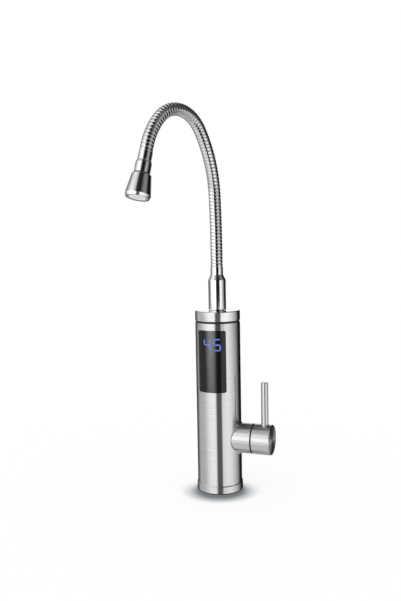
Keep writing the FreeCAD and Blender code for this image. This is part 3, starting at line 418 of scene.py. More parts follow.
def casing_steel(name):
    made, tree, shader = new_finish(name)
    column_tangent, column_streak = grain_round(tree, COLUMN_AXIS, COLUMN_CENTRE)
    branch_tangent, branch_streak = grain_round(tree, BRANCH_AXIS, LEVER_CENTRE)
    spot = own_place(tree)
    from_axis = vectors(tree, "MULTIPLY", vectors(tree, "SUBTRACT", spot, LEVER_CENTRE), (0, 1, 1))
    near = spread(tree, vectors(tree, "LENGTH", from_axis), BRANCH_RADIUS * FILLET_OUTER,
                  BRANCH_RADIUS * FILLET_INNER)
    outside = reckon(tree, "GREATER_THAN", split(tree, spot)["X"], BRANCH_START)
    on_branch = reckon(tree, "MULTIPLY", near, outside)
    tangent = mix(tree, on_branch, column_tangent, branch_tangent, "VECTOR")
    streak = mix(tree, on_branch, column_streak, branch_streak, "FLOAT")
    rough = [mix(tree, on_branch, column, branch, "FLOAT") for column, branch in zip(COLUMN_SATIN, HUB_SATIN)]
    satin(tree, shader, tangent, streak, rough)
    return made


shell_steel = casing_steel("casing_steel")
print("casing steel with two grains; branch radius", round(BRANCH_RADIUS, 5))

# %% [markdown]
# Each turned piece gets its own steel, because the axis it was turned on and the fineness of its satin differ.
# The cap is the finest and palest, nearly polished, and the end of the hub was spun the roughest.

# %% Steel for turned pieces
CAP_DARK = (0.83, 0.83, 0.835, 1)
CAP_PALE = (0.95, 0.95, 0.955, 1)
CAP_SATIN = (0.03, 0.05)
ROD_SATIN = (0.18, 0.23)
SPUN_SATIN = (0.36, 0.44)
BASE_SATIN = (0.16, 0.20)
rod_low, rod_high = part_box("lever_rod")
ROD_CENTRE = ((rod_low.x + rod_high.x) / 2, 0, 0)
column_steel = turned_steel("column_steel", COLUMN_AXIS, COLUMN_CENTRE, COLUMN_SATIN)
cap_steel = turned_steel("cap_steel", COLUMN_AXIS, COLUMN_CENTRE, CAP_SATIN, CAP_DARK, CAP_PALE)
hub_steel = turned_steel("hub_steel", BRANCH_AXIS, LEVER_CENTRE, HUB_SATIN)
spun_steel = turned_steel("spun_steel", BRANCH_AXIS, LEVER_CENTRE, SPUN_SATIN)
rod_steel = turned_steel("rod_steel", COLUMN_AXIS, ROD_CENTRE, ROD_SATIN)
base_steel = turned_steel("base_steel", COLUMN_AXIS, COLUMN_CENTRE, BASE_SATIN)
print("six turned steels; the rod's axis is at", round(ROD_CENTRE[0], 5))

# %% [markdown]
# ## Chrome
# The ferrule, the hose and the nozzle are plated and polished. Chrome is nearly a mirror, but not a perfect
# one: drying water and fingers leave faint smears, which show as patches where the reflection is a little
# softer. One could paint them. A noise does it here without any picture. On the hose, the chrome is darkened in
# the gaps between the ribs, where the mesh marks them: this is painted shade, in place of the real shadow there.

# %% Chrome and its smears
CHROME_PALE = (0.90, 0.90, 0.905, 1)
CHROME_DARK = (0.85, 0.85, 0.857, 1)
HOSE_PALE = (0.88, 0.88, 0.885, 1)
HOSE_DARK = (0.82, 0.82, 0.827, 1)
GAP_SHADE_COLOUR = (0.68, 0.68, 0.685, 1)
CHROME_ROUGH = (0.03, 0.07)
SMEAR_SCALE = 70.0
SMEAR_DETAIL = 4.0
SMEAR_TWIST = 0.6
SMEAR_ENDS = (0.35, 0.7)


def polished(name, pale, dark, shade_gaps=False):
    made, tree, shader = new_finish(name)
    smears = noise(tree, own_place(tree), SMEAR_SCALE, SMEAR_DETAIL, Distortion=SMEAR_TWIST)
    plate = two_tone(tree, smears, dark, pale)
    # Painted shade: on the hose the chrome is darkened in the gaps between the ribs.
    if shade_gaps:
        painted_gap_shade = add(tree, "ShaderNodeAttribute", attribute_name="painted_gap_shade").outputs["Fac"]
        plate = mix(tree, painted_gap_shade, plate, GAP_SHADE_COLOUR)
    fill(tree, shader, {"Base Color": plate, "Metallic": 1.0,
                        "Roughness": spread(tree, smears, *SMEAR_ENDS, *CHROME_ROUGH)})
    return made


chrome = polished("chrome", CHROME_PALE, CHROME_DARK)
hose_chrome = polished("hose_chrome", HOSE_PALE, HOSE_DARK, shade_gaps=True)
print("two chromes:", chrome.name, "and", hose_chrome.name)

# %% [markdown]
# ## Plastics, rubber, brass and the rest
# These pieces are small or hidden, yet each is a real material: moulded plastic has a fine pebble, rubber
# a dull bloom, brass fine turning marks. Each could have a tree of its own, but one recipe serves them all: a
# noise at the grain's size mixes two shades, varies the roughness and lifts a bump.

# %% Moulded and cast finishes
PEBBLE_DETAIL = 3.0
PEBBLE_DEPTH = 0.0001


def moulded(name, first, second, scale, rough, bump=0.08, metal=0.0, stretch=(1, 1, 1)):
    made, tree, shader = new_finish(name)
    pebble = noise(tree, vectors(tree, "MULTIPLY", own_place(tree), stretch), scale, PEBBLE_DETAIL)
    rise = add(tree, "ShaderNodeBump", {"Height": pebble, "Strength": bump, "Distance": PEBBLE_DEPTH})
    fill(tree, shader, {"Base Color": two_tone(tree, pebble, first, second), "Metallic": metal,
                        "Roughness": spread(tree, pebble, *NOISE_ENDS, *rough), "Normal": rise.outputs[0]})
    return made


def grey(level, warm=0.0):
    return (level + warm, level, level - warm, 1)


RECIPES = {
    "black_rubber": (grey(0.012), grey(0.022), 1500, (0.6, 0.8), 0.2),
    "black_plastic": (grey(0.008), grey(0.016), 2200, (0.35, 0.5), 0.1),
    "brass": ((0.62, 0.44, 0.19, 1), (0.75, 0.56, 0.27, 1), 900, (0.22, 0.36), 0.06, 1.0, (1, 1, 6)),
    "plain_steel": (grey(0.48), grey(0.60), 700, (0.28, 0.42), 0.05, 1.0, (1, 1, 8)),
    "disc_ceramic": (grey(0.80, 0.01), grey(0.87, 0.005), 1200, (0.18, 0.3), 0.03),
    "white_plastic": (grey(0.84), grey(0.90), 1800, (0.35, 0.5), 0.05),
    "grey_plastic": (grey(0.30), grey(0.38), 1800, (0.4, 0.55), 0.08),
    "board_green": ((0.012, 0.13, 0.05, 1), (0.02, 0.2, 0.08, 1), 600, (0.25, 0.4), 0.05),
    "lead_insulation": ((0.36, 0.03, 0.02, 1), (0.47, 0.05, 0.04, 1), 900, (0.4, 0.55)),
}
finishes = {name: moulded(name, *recipe) for name, recipe in RECIPES.items()}
finishes.update(chrome=chrome, hose_chrome=hose_chrome, brushed_steel=column_steel, spun_steel=spun_steel)
print(len(finishes), "finishes")

# %% [markdown]
# ## The smoked window
# The display sits behind smoked acrylic that follows the column's curve. It is almost black at its edges. A soft
# grey band down the middle, lighter towards the top, is a painted highlight: a ramp across the window and
# another down it lighten the base colour there, in place of a real reflection. Real clear smoke would need slow,
# noisy light paths. The gloss is plain acrylic, with wiping marks in it, which also vary the painted band a
# little.

# %% Smoked acrylic
SMOKE_DARK = (0.003, 0.003, 0.0035, 1)
SMOKE_PAINTED_HIGHLIGHT = (0.2, 0.2, 0.205, 1)
HIGHLIGHT_BAND_SHARE = 0.46
HIGHLIGHT_BAND_FOOT = 0.45
WIPE_STRETCH = (1, 1, 0.25)
WIPE_SCALE = 160.0
WIPE_DETAIL = 3.0
WIPE_TINT = (0.9, 1.05)
WIPE_ROUGH = (0.1, 0.14)
ACRYLIC_IOR = 1.5


def smoked_with_painted_highlight(name, half_width, foot, head):
    made, tree, shader = new_finish(name)
    spot = own_place(tree)
    spot_parts = split(tree, spot)
    wiped = noise(tree, vectors(tree, "MULTIPLY", spot, WIPE_STRETCH), WIPE_SCALE, WIPE_DETAIL)
    # Painted highlight: a soft grey band down the middle of the window, lighter towards the top, lightens the
    # base colour, and the wiping marks vary it a little.
    highlight_across = spread(tree, reckon(tree, "ABSOLUTE", spot_parts["X"]), HIGHLIGHT_BAND_SHARE * half_width, 0.0,
                    kind="SMOOTHERSTEP")
    highlight_upwards = spread(tree, spot_parts["Z"], foot, head, HIGHLIGHT_BAND_FOOT, 1.0, kind="LINEAR")
    painted_highlight = reckon(tree, "MULTIPLY", highlight_across, highlight_upwards)
    highlight_and_wipes = reckon(tree, "MULTIPLY", painted_highlight, spread(tree, wiped, *NOISE_ENDS, *WIPE_TINT))
    fill(tree, shader, {"Base Color": two_tone(tree, highlight_and_wipes, SMOKE_DARK, SMOKE_PAINTED_HIGHLIGHT, (0.0, 1.0)),
                        "Roughness": spread(tree, wiped, *NOISE_ENDS, *WIPE_ROUGH), "IOR": ACRYLIC_IOR})
    return made


window_low, window_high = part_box("display_lens")
finishes["display_black"] = smoked_with_painted_highlight("smoked_acrylic", window_high.x, window_low.z, window_high.z)
print("smoked window", round(window_high.z - window_low.z, 4), "m high")

# %% [markdown]
# ## Dressing the frame
# The frame's own solids are exact and smooth, so most of them only need their finish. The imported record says
# which slot each solid belongs to, so nothing has to be picked by hand. A few steel pieces have a grain or a
# satin of their own, and take the steel that was made for them.

# %% Give each solid its finish
OWN_STEEL = {"outer_casing": shell_steel, "handle_hub": hub_steel, "handle_end_cap": spun_steel,
             "lever_rod": rod_steel, "top_cap": cap_steel, "base_flange": base_steel}
slot_of = {row["node"]: row["material_slot"] for row in frame["record"]["subparts"]}
for name, solid in nodes.items():
    solid.data.materials.clear()
    solid.data.materials.append(OWN_STEEL.get(name, finishes[slot_of[name]]))
print("finishes given to", len(slot_of), "solids")

# %% [markdown]
# ## The gooseneck's path
# The hose rises from the ferrule, leans a little, sweeps over, turns sharply at the crown and hangs down to the
# nozzle. A freehand curve could follow that, but the hose has to bend on the frame's hinges, so the same rule
# that shaped the solids gives the path again: a straight rise, four arcs of given radius and turn, and a
# straight drop.

# %% Stations along the hose
MM = 0.001
HOSE_ROOT = 252 * MM
SPOUT_SWING = math.radians(20.0)
HOSE_ARCS = [(1195.0, 3.1), (134.7, 32.1), (42.0, 96.6), (73.1, 31.7)]
HOSE_RISE = 26.4 * MM
HOSE_DROP = 14.0 * MM
CUFF_LENGTH = 9.0 * MM
SECTIONS = 10
RIBS_PER_SECTION = 7
STRAIGHT = 1e-9
reach_way = Vector((-math.sin(SPOUT_SWING), -math.cos(SPOUT_SWING), 0))
hose_runs = [(HOSE_RISE, 0.0)]
hose_runs += [(radius * MM * math.radians(degrees), math.radians(degrees)) for radius, degrees in HOSE_ARCS]
hose_runs += [(HOSE_DROP, 0.0)]
hose_length = sum(length for length, bend in hose_runs)
section_length = (hose_length - 2 * CUFF_LENGTH) / SECTIONS
rib_pitch = section_length / RIBS_PER_SECTION


def hose_point(distance):
    """The point of the hose's middle line at a distance from its root."""
    out, rise, lean, left = 0.0, HOSE_ROOT, 0.0, distance
    for length, bend in hose_runs:
        step = min(left, length)
        angle = step * bend / length
        chord = step if abs(angle) < STRAIGHT else 2 * math.sin(angle / 2) * step / angle
        out += chord * math.sin(lean + angle / 2)
        rise += chord * math.cos(lean + angle / 2)
        lean += angle
        left -= step
    return reach_way * out + UP * rise


print("hose", round(hose_length / MM, 1), "mm long, rib pitch", round(rib_pitch / MM, 3), "mm")

# %% [markdown]
# ## The ribs
# The hose is a wound metal strip: seventy pillow-shaped ribs with tight grooves between them. Modelling one
# rib and copying it along a bend would leave steps. Geometry Nodes can do it in one sweep instead: a circle
# runs along the path, and the path's own radius swells and shrinks once for each rib. The last nodes make the
# shape real and give it its finish, as in every tree here.

# %% A Geometry Nodes tree for a ribbed hose
RIB_FULLNESS = 8.0
GAP_SHADE_START = 0.86


def hand_on(tree, shape, finish):
    """Ends a tree: makes the shape real, gives it its finish and hands it on."""
    real = add(tree, "GeometryNodeRealizeInstances", {0: shape}).outputs[0]
    dressed = add(tree, "GeometryNodeSetMaterial", {"Geometry": real, "Material": finish}).outputs[0]
    add(tree, "NodeGroupOutput", {0: dressed})


ribs = bpy.data.node_groups.new("ribbed hose", "GeometryNodeTree")
sockets(ribs, "Geometry", "Path")
sockets(ribs, "Float", "Start", "Whole length", "Cuff length", "Pitch", "Crest radius",
        "Groove radius", "Cuff radius")
sockets(ribs, "Int", "Sides")
sockets(ribs, "Material", "Finish")
sockets(ribs, "Geometry", "Hose", way="OUTPUT")
hose_in = add(ribs, "NodeGroupInput").outputs
line = add(ribs, "GeometryNodeMeshToCurve", {0: hose_in["Path"]}).outputs[0]
travelled = add(ribs, "GeometryNodeSplineParameter").outputs["Length"]
from_root = reckon(ribs, "ADD", travelled, hose_in["Start"])
from_cuff = reckon(ribs, "SUBTRACT", from_root, hose_in["Cuff length"])
in_rib = reckon(ribs, "FRACT", reckon(ribs, "DIVIDE", from_cuff, hose_in["Pitch"]))
from_crest = reckon(ribs, "ABSOLUTE", reckon(ribs, "SUBTRACT", reckon(ribs, "MULTIPLY", in_rib, 2.0), 1.0))
pillow = reckon(ribs, "SUBTRACT", 1.0, reckon(ribs, "POWER", from_crest, RIB_FULLNESS))
rib_depth = reckon(ribs, "SUBTRACT", hose_in["Crest radius"], hose_in["Groove radius"])
ribbed = reckon(ribs, "ADD", hose_in["Groove radius"], reckon(ribs, "MULTIPLY", rib_depth, pillow))
rib_end = reckon(ribs, "SUBTRACT", hose_in["Whole length"], hose_in["Cuff length"])
past_cuff = reckon(ribs, "GREATER_THAN", from_root, hose_in["Cuff length"])
on_ribs = reckon(ribs, "MULTIPLY", past_cuff, reckon(ribs, "LESS_THAN", from_root, rib_end))
swell = add(ribs, "GeometryNodeSwitch", {"Switch": on_ribs, "False": hose_in["Cuff radius"], "True": ribbed},
            input_type="FLOAT").outputs[0]
swollen = add(ribs, "GeometryNodeSetCurveRadius", {"Curve": line, "Radius": swell}).outputs[0]
# Painted shade: the gaps between the ribs are marked, so that the hose's chrome can be darkened there.
gap_shade_share = reckon(ribs, "MULTIPLY", on_ribs, spread(ribs, from_crest, GAP_SHADE_START, 1.0))
marked = add(ribs, "GeometryNodeStoreNamedAttribute", {"Geometry": swollen, "Name": "painted_gap_shade", "Value": gap_shade_share},
             data_type="FLOAT", domain="POINT").outputs[0]
outline = add(ribs, "GeometryNodeCurvePrimitiveCircle", {"Resolution": hose_in["Sides"], "Radius": 1.0})
path_radius = add(ribs, "GeometryNodeInputRadius").outputs[0]
swept = add(ribs, "GeometryNodeCurveToMesh", {"Curve": marked, "Profile Curve": outline.outputs[0],
                                              "Scale": path_radius, "Fill Caps": True}).outputs[0]
smooth = add(ribs, "GeometryNodeSetShadeSmooth", {"Geometry": swept}).outputs[0]
hand_on(ribs, smooth, hose_in["Finish"])
print("ribbed hose tree with", len(ribs.nodes), "nodes")

# %% [markdown]
# A modifier's inputs are named by hidden identifiers, so a helper looks each one up. It hangs the tree on a
# bare host mesh, lets Blender work it out, and keeps the result as a plain mesh with no modifier, because that
# is what rides on the frame. Some nodes leave an empty material slot, which is taken out.

# %% Turn a tree into a plain mesh
def grow(name, tree, values, points=(), edges=()):
    host_mesh = bpy.data.meshes.new(name + "_host")
    host_mesh.from_pydata(list(points), list(edges), [])
    host = place_object(name + "_host", host_mesh)
    modifier = host.modifiers.new("grow", "NODES")
    modifier.node_group = tree
    for item in tree.interface.items_tree:
        if item.item_type == "SOCKET" and item.in_out == "INPUT" and item.name in values:
            modifier[item.identifier] = values[item.name]
    host_mesh.update()
    grown = bpy.data.meshes.new_from_object(host.evaluated_get(bpy.context.evaluated_depsgraph_get()))
    bpy.data.objects.remove(host)
    for i in reversed(range(len(grown.materials))):
        if grown.materials[i] is None:
            grown.materials.pop(index=i)
    grown.name = name
    return place_object(name, grown)


print("trees are grown into plain meshes")

# %% [markdown]
# ## The hose over its hinges
# In the frame the hose is ten short stiff sections. A real one bends smoothly, so each piece here reaches from
# the middle of one section to the middle of the next, across the hinge between them. The first and
# the last half ride on the ferrule and the nozzle, and the pieces between them stay fixed in place. All of them
# meet in the middle of a rib.

# %% Make the hose
STEPS_PER_RIB = 16
BEND_SHARE = 0.4
HOSE_SIZES = {"Whole length": hose_length, "Cuff length": CUFF_LENGTH, "Pitch": rib_pitch,
              "Crest radius": 6.9 * MM, "Groove radius": 6.0 * MM, "Cuff radius": 6.4 * MM, "Sides": 56,
              "Finish": hose_chrome}


def hose_piece(name, start, end):
    steps = max(2, round((end - start) / rib_pitch * STEPS_PER_RIB))
    points = [hose_point(start + (end - start) * i / steps) for i in range(steps + 1)]
    edges = [(i, i + 1) for i in range(steps)]
    made = grow(name, ribs, dict(HOSE_SIZES, Start=start), points, edges)
    return made


middles = [CUFF_LENGTH + section_length * (i + 0.5) for i in range(SECTIONS)]
root_half = hose_piece("hose_root", 0.0, middles[0])
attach(root_half, "spout")
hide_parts("hose_section_01")
tip_half = hose_piece("hose_tip", middles[-1], hose_length)
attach(tip_half, "nozzle")
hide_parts(f"hose_section_{SECTIONS:02d}")
for i in range(SECTIONS - 1):
    piece = hose_piece(f"hose_bend_{i + 1:02d}", middles[i], middles[i + 1])
    hinge = middles[i] + section_length / 2
    hose_point(hinge - BEND_SHARE * section_length)
    hose_point(hinge + BEND_SHARE * section_length)
    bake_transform(piece)
    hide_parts(f"hose_section_{i + 1:02d}", f"hose_section_{i + 2:02d}")
print("hose pieces:", SECTIONS + 1, "with", len(piece.data.polygons), "faces in a bend")

# %% [markdown]
# ## The set screws
# Two small set screws at the back hold the casing on the base, and one under the hub holds the handle on its
# stem. A set screw has no head, only a chamfered end with a six-sided hole for a key. Each could be modelled
# by hand and copied. A tree is handier: it makes one screw from its sizes. It starts from a cylinder with three
# rings of points, draws the outer ring in, moves the middle one up close behind it, and cuts the hole.

# %% A Geometry Nodes tree for set screws
KEY_SIDES = 6
SHARP_ANGLE = 0.5


def creased(tree, shape):
    """Shades a shape smooth, but keeps its real edges sharp."""
    soft = add(tree, "GeometryNodeSetShadeSmooth", {"Geometry": shape}).outputs[0]
    bend = add(tree, "GeometryNodeInputMeshEdgeAngle").outputs["Unsigned Angle"]
    sharp = reckon(tree, "GREATER_THAN", bend, SHARP_ANGLE)
    values = {"Geometry": soft, "Selection": sharp, "Shade Smooth": False}
    return add(tree, "GeometryNodeSetShadeSmooth", values, domain="EDGE").outputs[0]


screws = bpy.data.node_groups.new("set screws", "GeometryNodeTree")
sockets(screws, "Geometry", "Places")
sockets(screws, "Float", "Radius", "Length", "Chamfer", "Key radius", "Key depth")
sockets(screws, "Int", "Sides")
sockets(screws, "Bool", "From column")
sockets(screws, "Vector", "Facing")
sockets(screws, "Material", "Finish")
sockets(screws, "Geometry", "Screws", way="OUTPUT")
screw_in = add(screws, "NodeGroupInput").outputs
shaft = add(screws, "GeometryNodeMeshCylinder", {"Vertices": screw_in["Sides"], "Side Segments": 2,
                                                 "Radius": screw_in["Radius"], "Depth": screw_in["Length"]})
shaft_x, shaft_y, shaft_z = split(screws, add(screws, "GeometryNodeInputPosition").outputs[0])
half_length = reckon(screws, "DIVIDE", screw_in["Length"], 2.0)
# The rings are numbered -1, 0 and 1, so the tests lie half way between them.
which_ring = reckon(screws, "ROUND", reckon(screws, "DIVIDE", shaft_z, half_length))
at_end = reckon(screws, "GREATER_THAN", which_ring, 0.5)
at_back = reckon(screws, "LESS_THAN", which_ring, -0.5)
chamfer_share = reckon(screws, "DIVIDE", screw_in["Chamfer"], screw_in["Radius"])
slim = reckon(screws, "SUBTRACT", 1.0, reckon(screws, "MULTIPLY", at_end, chamfer_share))
shoulder = reckon(screws, "MULTIPLY", reckon(screws, "SUBTRACT", 1.0, at_end), screw_in["Chamfer"])
below = reckon(screws, "SUBTRACT", screw_in["Length"], screw_in["Chamfer"])
sunk = reckon(screws, "ADD", shoulder, reckon(screws, "MULTIPLY", at_back, below))
chamfered = join(screws, reckon(screws, "MULTIPLY", shaft_x, slim), reckon(screws, "MULTIPLY", shaft_y, slim),
                 reckon(screws, "MULTIPLY", sunk, -1.0))
solid_screw = add(screws, "GeometryNodeSetPosition", {"Geometry": shaft.outputs["Mesh"], "Position": chamfered})
key = add(screws, "GeometryNodeMeshCylinder", {"Vertices": KEY_SIDES, "Radius": screw_in["Key radius"],
                                               "Depth": reckon(screws, "MULTIPLY", screw_in["Key depth"], 2.0)})
one_screw = add(screws, "GeometryNodeMeshBoolean", {"Mesh 1": solid_screw.outputs[0],
                                                    "Mesh 2": key.outputs["Mesh"]},
                operation="DIFFERENCE", solver="EXACT").outputs["Mesh"]
print("one set screw takes", len(screws.nodes), "nodes")

# %% [markdown]
# The second half of the tree stands a copy of the screw on each given point, facing either straight away from
# the column or the way it is told. Copies made this way stay alike, and a further screw is only a further point.

# %% Stand the screws on their places
stand = add(screws, "GeometryNodeInputPosition").outputs[0]
facing = add(screws, "GeometryNodeSwitch", {"Switch": screw_in["From column"], "False": screw_in["Facing"],
                                            "True": vectors(screws, "MULTIPLY", stand, (1, 1, 0))},
             input_type="VECTOR").outputs[0]
aimed = add(screws, "FunctionNodeAlignRotationToVector", {"Vector": facing}, axis="Z").outputs[0]
stands = add(screws, "GeometryNodeMeshToPoints", {"Mesh": screw_in["Places"]}).outputs[0]
placed = add(screws, "GeometryNodeInstanceOnPoints", {"Points": stands, "Instance": creased(screws, one_screw),
                                                      "Rotation": aimed}).outputs[0]
hand_on(screws, placed, screw_in["Finish"])
print("set screw tree with", len(screws.nodes), "nodes")

# %% [markdown]
# The casing's two screws sit low at its back and ride on the column. The handle's screw has another size and
# turns with the lever, so it is a piece of its own. Hole and chamfer keep the same share of the screw's radius.

# %% Set the screws
SCREW_SIDES = 24
CASING_SCREW_ANGLES = (60.0, 120.0)
CASING_SCREW_RADIUS = 1.5 * MM
CASING_SCREW_LENGTH = 3.5 * MM
CASING_SCREW_REACH = 25.9 * MM
KEY_SHARE = 0.58
KEY_DEPTH_SHARE = 0.8
CHAMFER_SHARE = 0.15
DOWNWARDS = (0.0, 0.0, -1.0)


def screw_values(radius, length, **ways):
    key_values = {"Key radius": KEY_SHARE * radius, "Key depth": KEY_DEPTH_SHARE * radius}
    return dict(ways, Radius=radius, Length=length, Chamfer=CHAMFER_SHARE * radius, Sides=SCREW_SIDES,
                Finish=finishes["plain_steel"], **key_values)


casing_low, casing_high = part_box("casing_screws")
casing_places = [(CASING_SCREW_REACH * math.cos(math.radians(degrees)),
                  CASING_SCREW_REACH * math.sin(math.radians(degrees)),
                  (casing_low.z + casing_high.z) / 2) for degrees in CASING_SCREW_ANGLES]
casing_values = screw_values(CASING_SCREW_RADIUS, CASING_SCREW_LENGTH, **{"From column": True})
casing_screws = grow("casing_set_screws", screws, casing_values, casing_places)
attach(casing_screws, "column")
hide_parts("casing_screws")

handle_low, handle_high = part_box("handle_screw")
handle_place = ((handle_low.x + handle_high.x) / 2, (handle_low.y + handle_high.y) / 2, handle_low.z)
handle_values = screw_values((handle_high.x - handle_low.x) / 2, handle_high.z - handle_low.z, Facing=DOWNWARDS)
handle_screw = grow("handle_set_screw", screws, handle_values, [handle_place])
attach(handle_screw, "lever")
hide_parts("handle_screw")
print("set screws with", len(casing_screws.data.polygons), "and", len(handle_screw.data.polygons), "faces")

# %% [markdown]
# ## The threaded shank
# Under the worktop a brass shank takes the nut and the supply hose. Its pipe thread is a ridge that climbs one
# pitch in each turn. A screw modifier could wind a tooth, but its ends would stay open. Here one sheet of
# squares is rolled into the whole shank. Most of its rows climb the outside. The first row and the last two lie
# in the bore, so the sheet's edges meet and can be merged into a closed skin.

# %% A sheet to roll into a shank
shank_tree = bpy.data.node_groups.new("threaded shank", "GeometryNodeTree")
sockets(shank_tree, "Geometry", "Host")
sockets(shank_tree, "Float", "Crest radius", "Root radius", "Bore radius", "Bottom", "Top",
        "Groove bottom", "Groove top", "Groove radius", "Pitch", "Chamfer")
sockets(shank_tree, "Int", "Sides", "Rows")
sockets(shank_tree, "Material", "Finish")
sockets(shank_tree, "Geometry", "Shank", way="OUTPUT")
shank_in = add(shank_tree, "NodeGroupInput").outputs


def sum_of(operation, first, second=0.0):
    return reckon(shank_tree, operation, first, second)


def between(value, low, high):
    return sum_of("MULTIPLY", sum_of("GREATER_THAN", value, low), sum_of("LESS_THAN", value, high))


def either(test, yes, no):
    return add(shank_tree, "GeometryNodeSwitch", {"Switch": test, "True": yes, "False": no},
               input_type="FLOAT").outputs[0]


sheet = add(shank_tree, "GeometryNodeMeshGrid", {"Size X": 1.0, "Size Y": 1.0,
                                                 "Vertices X": sum_of("ADD", shank_in["Sides"], 1.0),
                                                 "Vertices Y": sum_of("ADD", shank_in["Rows"], 3.0)})
sheet_spot = split(shank_tree, add(shank_tree, "GeometryNodeInputPosition").outputs[0])
# The sheet is one unit wide with its middle at zero, and the tests lie half way between its rows.
round_part = sum_of("ADD", sheet_spot["X"], 0.5)
up_part = sum_of("ADD", sheet_spot["Y"], 0.5)
sheet_row = sum_of("ROUND", sum_of("MULTIPLY", up_part, sum_of("ADD", shank_in["Rows"], 2.0)))
on_outside = between(sheet_row, 0.5, sum_of("ADD", shank_in["Rows"], 0.5))
back_down = sum_of("GREATER_THAN", sheet_row, sum_of("ADD", shank_in["Rows"], 1.5))
climbed = spread(shank_tree, sheet_row, 1.0, shank_in["Rows"], shank_in["Bottom"], shank_in["Top"],
                 kind="LINEAR")
level = either(back_down, shank_in["Bottom"], climbed)
print("the sheet takes", len(shank_tree.nodes), "nodes")

# %% [markdown]
# A point's height and its angle say where in the thread it is, so they say how far from the axis it goes. The
# groove under the nut and the chamfered nose only cut the radius down further.

# %% The thread on the sheet
TOOTH_ENDS = (0.15, 0.85)
WELD_DISTANCE = 1e-6
turns = sum_of("SUBTRACT", sum_of("DIVIDE", level, shank_in["Pitch"]), round_part)
tooth = sum_of("ABSOLUTE", sum_of("SUBTRACT", sum_of("MULTIPLY", sum_of("FRACT", turns), 2.0), 1.0))
threaded = spread(shank_tree, tooth, *TOOTH_ENDS, shank_in["Root radius"], shank_in["Crest radius"],
                  kind="LINEAR")
in_groove = between(level, shank_in["Groove bottom"], shank_in["Groove top"])
grooved = either(in_groove, shank_in["Groove radius"], threaded)
nosed = sum_of("ADD", sum_of("SUBTRACT", shank_in["Crest radius"], shank_in["Chamfer"]),
               sum_of("SUBTRACT", level, shank_in["Bottom"]))
from_middle = either(on_outside, sum_of("MINIMUM", grooved, nosed), shank_in["Bore radius"])
full_angle = sum_of("MULTIPLY", round_part, 2 * math.pi)
rolled = join(shank_tree, sum_of("MULTIPLY", from_middle, sum_of("COSINE", full_angle)),
              sum_of("MULTIPLY", from_middle, sum_of("SINE", full_angle)), level)
skin = add(shank_tree, "GeometryNodeSetPosition", {"Geometry": sheet.outputs["Mesh"], "Position": rolled})
closed = add(shank_tree, "GeometryNodeMergeByDistance", {"Geometry": skin.outputs[0],
                                                         "Distance": WELD_DISTANCE}).outputs[0]
hand_on(shank_tree, creased(shank_tree, closed), shank_in["Finish"])
print("threaded shank tree with", len(shank_tree.nodes), "nodes")

# %% [markdown]
# The thread is the usual half-inch pipe thread, with fourteen turns to the inch. The frame's own boxes give the
# shank's length and the height of the nut, so the thread follows them.

# %% Cut the thread
THREAD_PITCH = 1.814 * MM
THREAD_DEPTH = 0.7 * MM
GROOVE_WIDTH = 2.0 * MM
GROOVE_DEPTH = 1.2 * MM
BORE_RADIUS = 6.0 * MM
ROWS_PER_TURN = 10
SHANK_SIDES = 48
shank_low, shank_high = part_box("inlet_shank")
nut_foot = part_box("mounting_nut")[0].z
shank_values = {"Crest radius": shank_high.x, "Root radius": shank_high.x - THREAD_DEPTH,
                "Bore radius": BORE_RADIUS, "Bottom": shank_low.z, "Top": shank_high.z,
                "Groove bottom": nut_foot - GROOVE_WIDTH, "Groove top": nut_foot,
                "Groove radius": shank_high.x - GROOVE_DEPTH, "Pitch": THREAD_PITCH, "Chamfer": THREAD_DEPTH,
                "Sides": SHANK_SIDES, "Finish": finishes[slot_of["inlet_shank"]],
                "Rows": round((shank_high.z - shank_low.z) / THREAD_PITCH * ROWS_PER_TURN)}
threaded_shank = grow("threaded_shank", shank_tree, shank_values)
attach(threaded_shank, "column")
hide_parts("inlet_shank")
print("shank with", len(threaded_shank.data.polygons), "faces")

# %% [markdown]
# ## The lit digits
# The window shows the water's temperature in seven-segment digits. Each lit segment is a small bar with pointed
# ends that follows the curved window. A text object would have the wrong shapes, so the bars are drawn flat and
# wrapped onto the column's curve.

# %% The bars of a digit
DIGIT_HEIGHT = 14.2 * MM
DIGIT_WIDTH = 8.8 * MM
STROKE = 1.6 * MM
SEGMENT_JOIN = 0.12 * MM
BAR_STEPS = 5
BLUNT = 0.15
SEGMENT_ENDS = {"a": ((-1, 1), (1, 1)), "b": ((1, 1), (1, 0)), "c": ((1, 0), (1, -1)), "d": ((-1, -1), (1, -1)),
                "f": ((-1, 1), (-1, 0)), "g": ((-1, 0), (1, 0))}
window_radius = -window_low.y
half_w, half_h = DIGIT_WIDTH / 2 - STROKE / 2, DIGIT_HEIGHT / 2 - STROKE / 2


def bar_outline(ends):
    """Pairs of points along a bar with pointed ends, from its two ends in units of half the digit."""
    first, last = [Vector((x * half_w, y * half_h)) for x, y in ends]
    length = (last - first).length
    way = (last - first) / length
    side = Vector((-way.y, way.x)) * STROKE / 2
    taper = STROKE / 2
    inner = length - 2 * SEGMENT_JOIN - 2 * taper
    stops = [0.0] + [taper + inner * i / BAR_STEPS for i in range(BAR_STEPS + 1)] + [inner + 2 * taper]
    widths = [BLUNT] + [1.0] * (BAR_STEPS + 1) + [BLUNT]
    middle = [first + way * (SEGMENT_JOIN + stop) for stop in stops]
    return [(point + side * width, point - side * width) for point, width in zip(middle, widths)]


def on_window(point, proud):
    angle = point.x / window_radius
    radius = window_radius + proud
    return (radius * math.sin(angle), -radius * math.cos(angle), point.y)


print("bars", round(STROKE / MM, 1), "mm wide on a window of radius", round(window_radius / MM, 2), "mm")

# %% [markdown]
# Each bar is given a little thickness, so that it is a closed shape and sits in the face of the window. Every
# pair of outline points becomes a ring of four, and faces join each ring to the next.

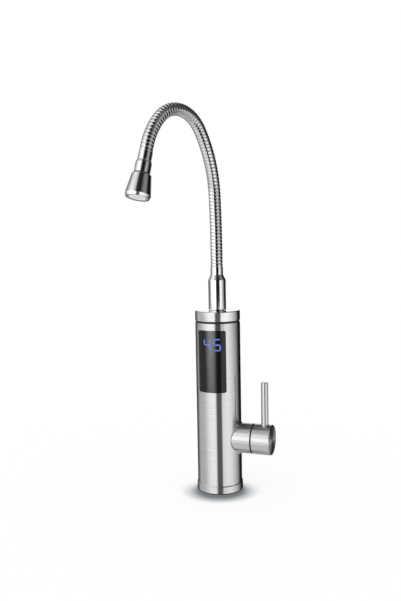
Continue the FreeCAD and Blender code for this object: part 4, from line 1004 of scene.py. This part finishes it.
# %% Draw the digits
DIGIT_GAP = 3.0 * MM
DIGITS_RISE = 173.7 * MM
DIGITS_ASIDE = 1.5 * MM
PROUD = 0.03 * MM
SUNK = 0.3 * MM
LIT = {"4": "fgbc", "5": "afgcd"}
digit_points, digit_faces = [], []
for digit_side, digit in ((-1, "4"), (1, "5")):
    centre = Vector((DIGITS_ASIDE + digit_side * (DIGIT_WIDTH + DIGIT_GAP) / 2, DIGITS_RISE))
    for segment in LIT[digit]:
        pairs = bar_outline(SEGMENT_ENDS[segment])
        start = len(digit_points)
        end = start + 4 * (len(pairs) - 1)
        for left, right in pairs:
            digit_points += [on_window(centre + left, PROUD), on_window(centre + right, PROUD),
                             on_window(centre + right, -SUNK), on_window(centre + left, -SUNK)]
        for i in range(start, end, 4):
            digit_faces += [(i + k, i + (k + 1) % 4, i + 4 + (k + 1) % 4, i + 4 + k) for k in range(4)]
        digit_faces += [(start + 3, start + 2, start + 1, start), (end, end + 1, end + 2, end + 3)]
digit_mesh = bpy.data.meshes.new("lit_digits")
digit_mesh.from_pydata(digit_points, [], digit_faces)
digits = place_object("lit_digits", digit_mesh)
print("digits with", len(digit_faces), "faces")

# %% [markdown]
# The bars shine through a milky light guide, so their blue isn't quite even. A lamp behind each would be
# slow to render. A finish that glows by itself does the same, and a fine speckle makes its blue uneven.

# %% Light the digits
GLOW_DARK = (0.07, 0.13, 0.48, 1)
GLOW_PALE = (0.16, 0.24, 0.66, 1)
GUIDE_DARK = (0.01, 0.02, 0.08, 1)
GUIDE_PALE = (0.02, 0.03, 0.12, 1)
GUIDE_ROUGH = 0.3
SPECKLE_SCALE = 900.0
SPECKLE_DETAIL = 2.0
digit_glow, glow_tree, glow_shader = new_finish("digit_glow")
speckle = noise(glow_tree, own_place(glow_tree), SPECKLE_SCALE, SPECKLE_DETAIL)
fill(glow_tree, glow_shader, {"Emission Color": two_tone(glow_tree, speckle, GLOW_DARK, GLOW_PALE),
                              "Emission Strength": 1.0, "Roughness": GUIDE_ROUGH,
                              "Base Color": two_tone(glow_tree, speckle, GUIDE_DARK, GUIDE_PALE)})
digit_mesh.materials.append(digit_glow)
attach(digits, "column")
print("lit digits ride on the column")
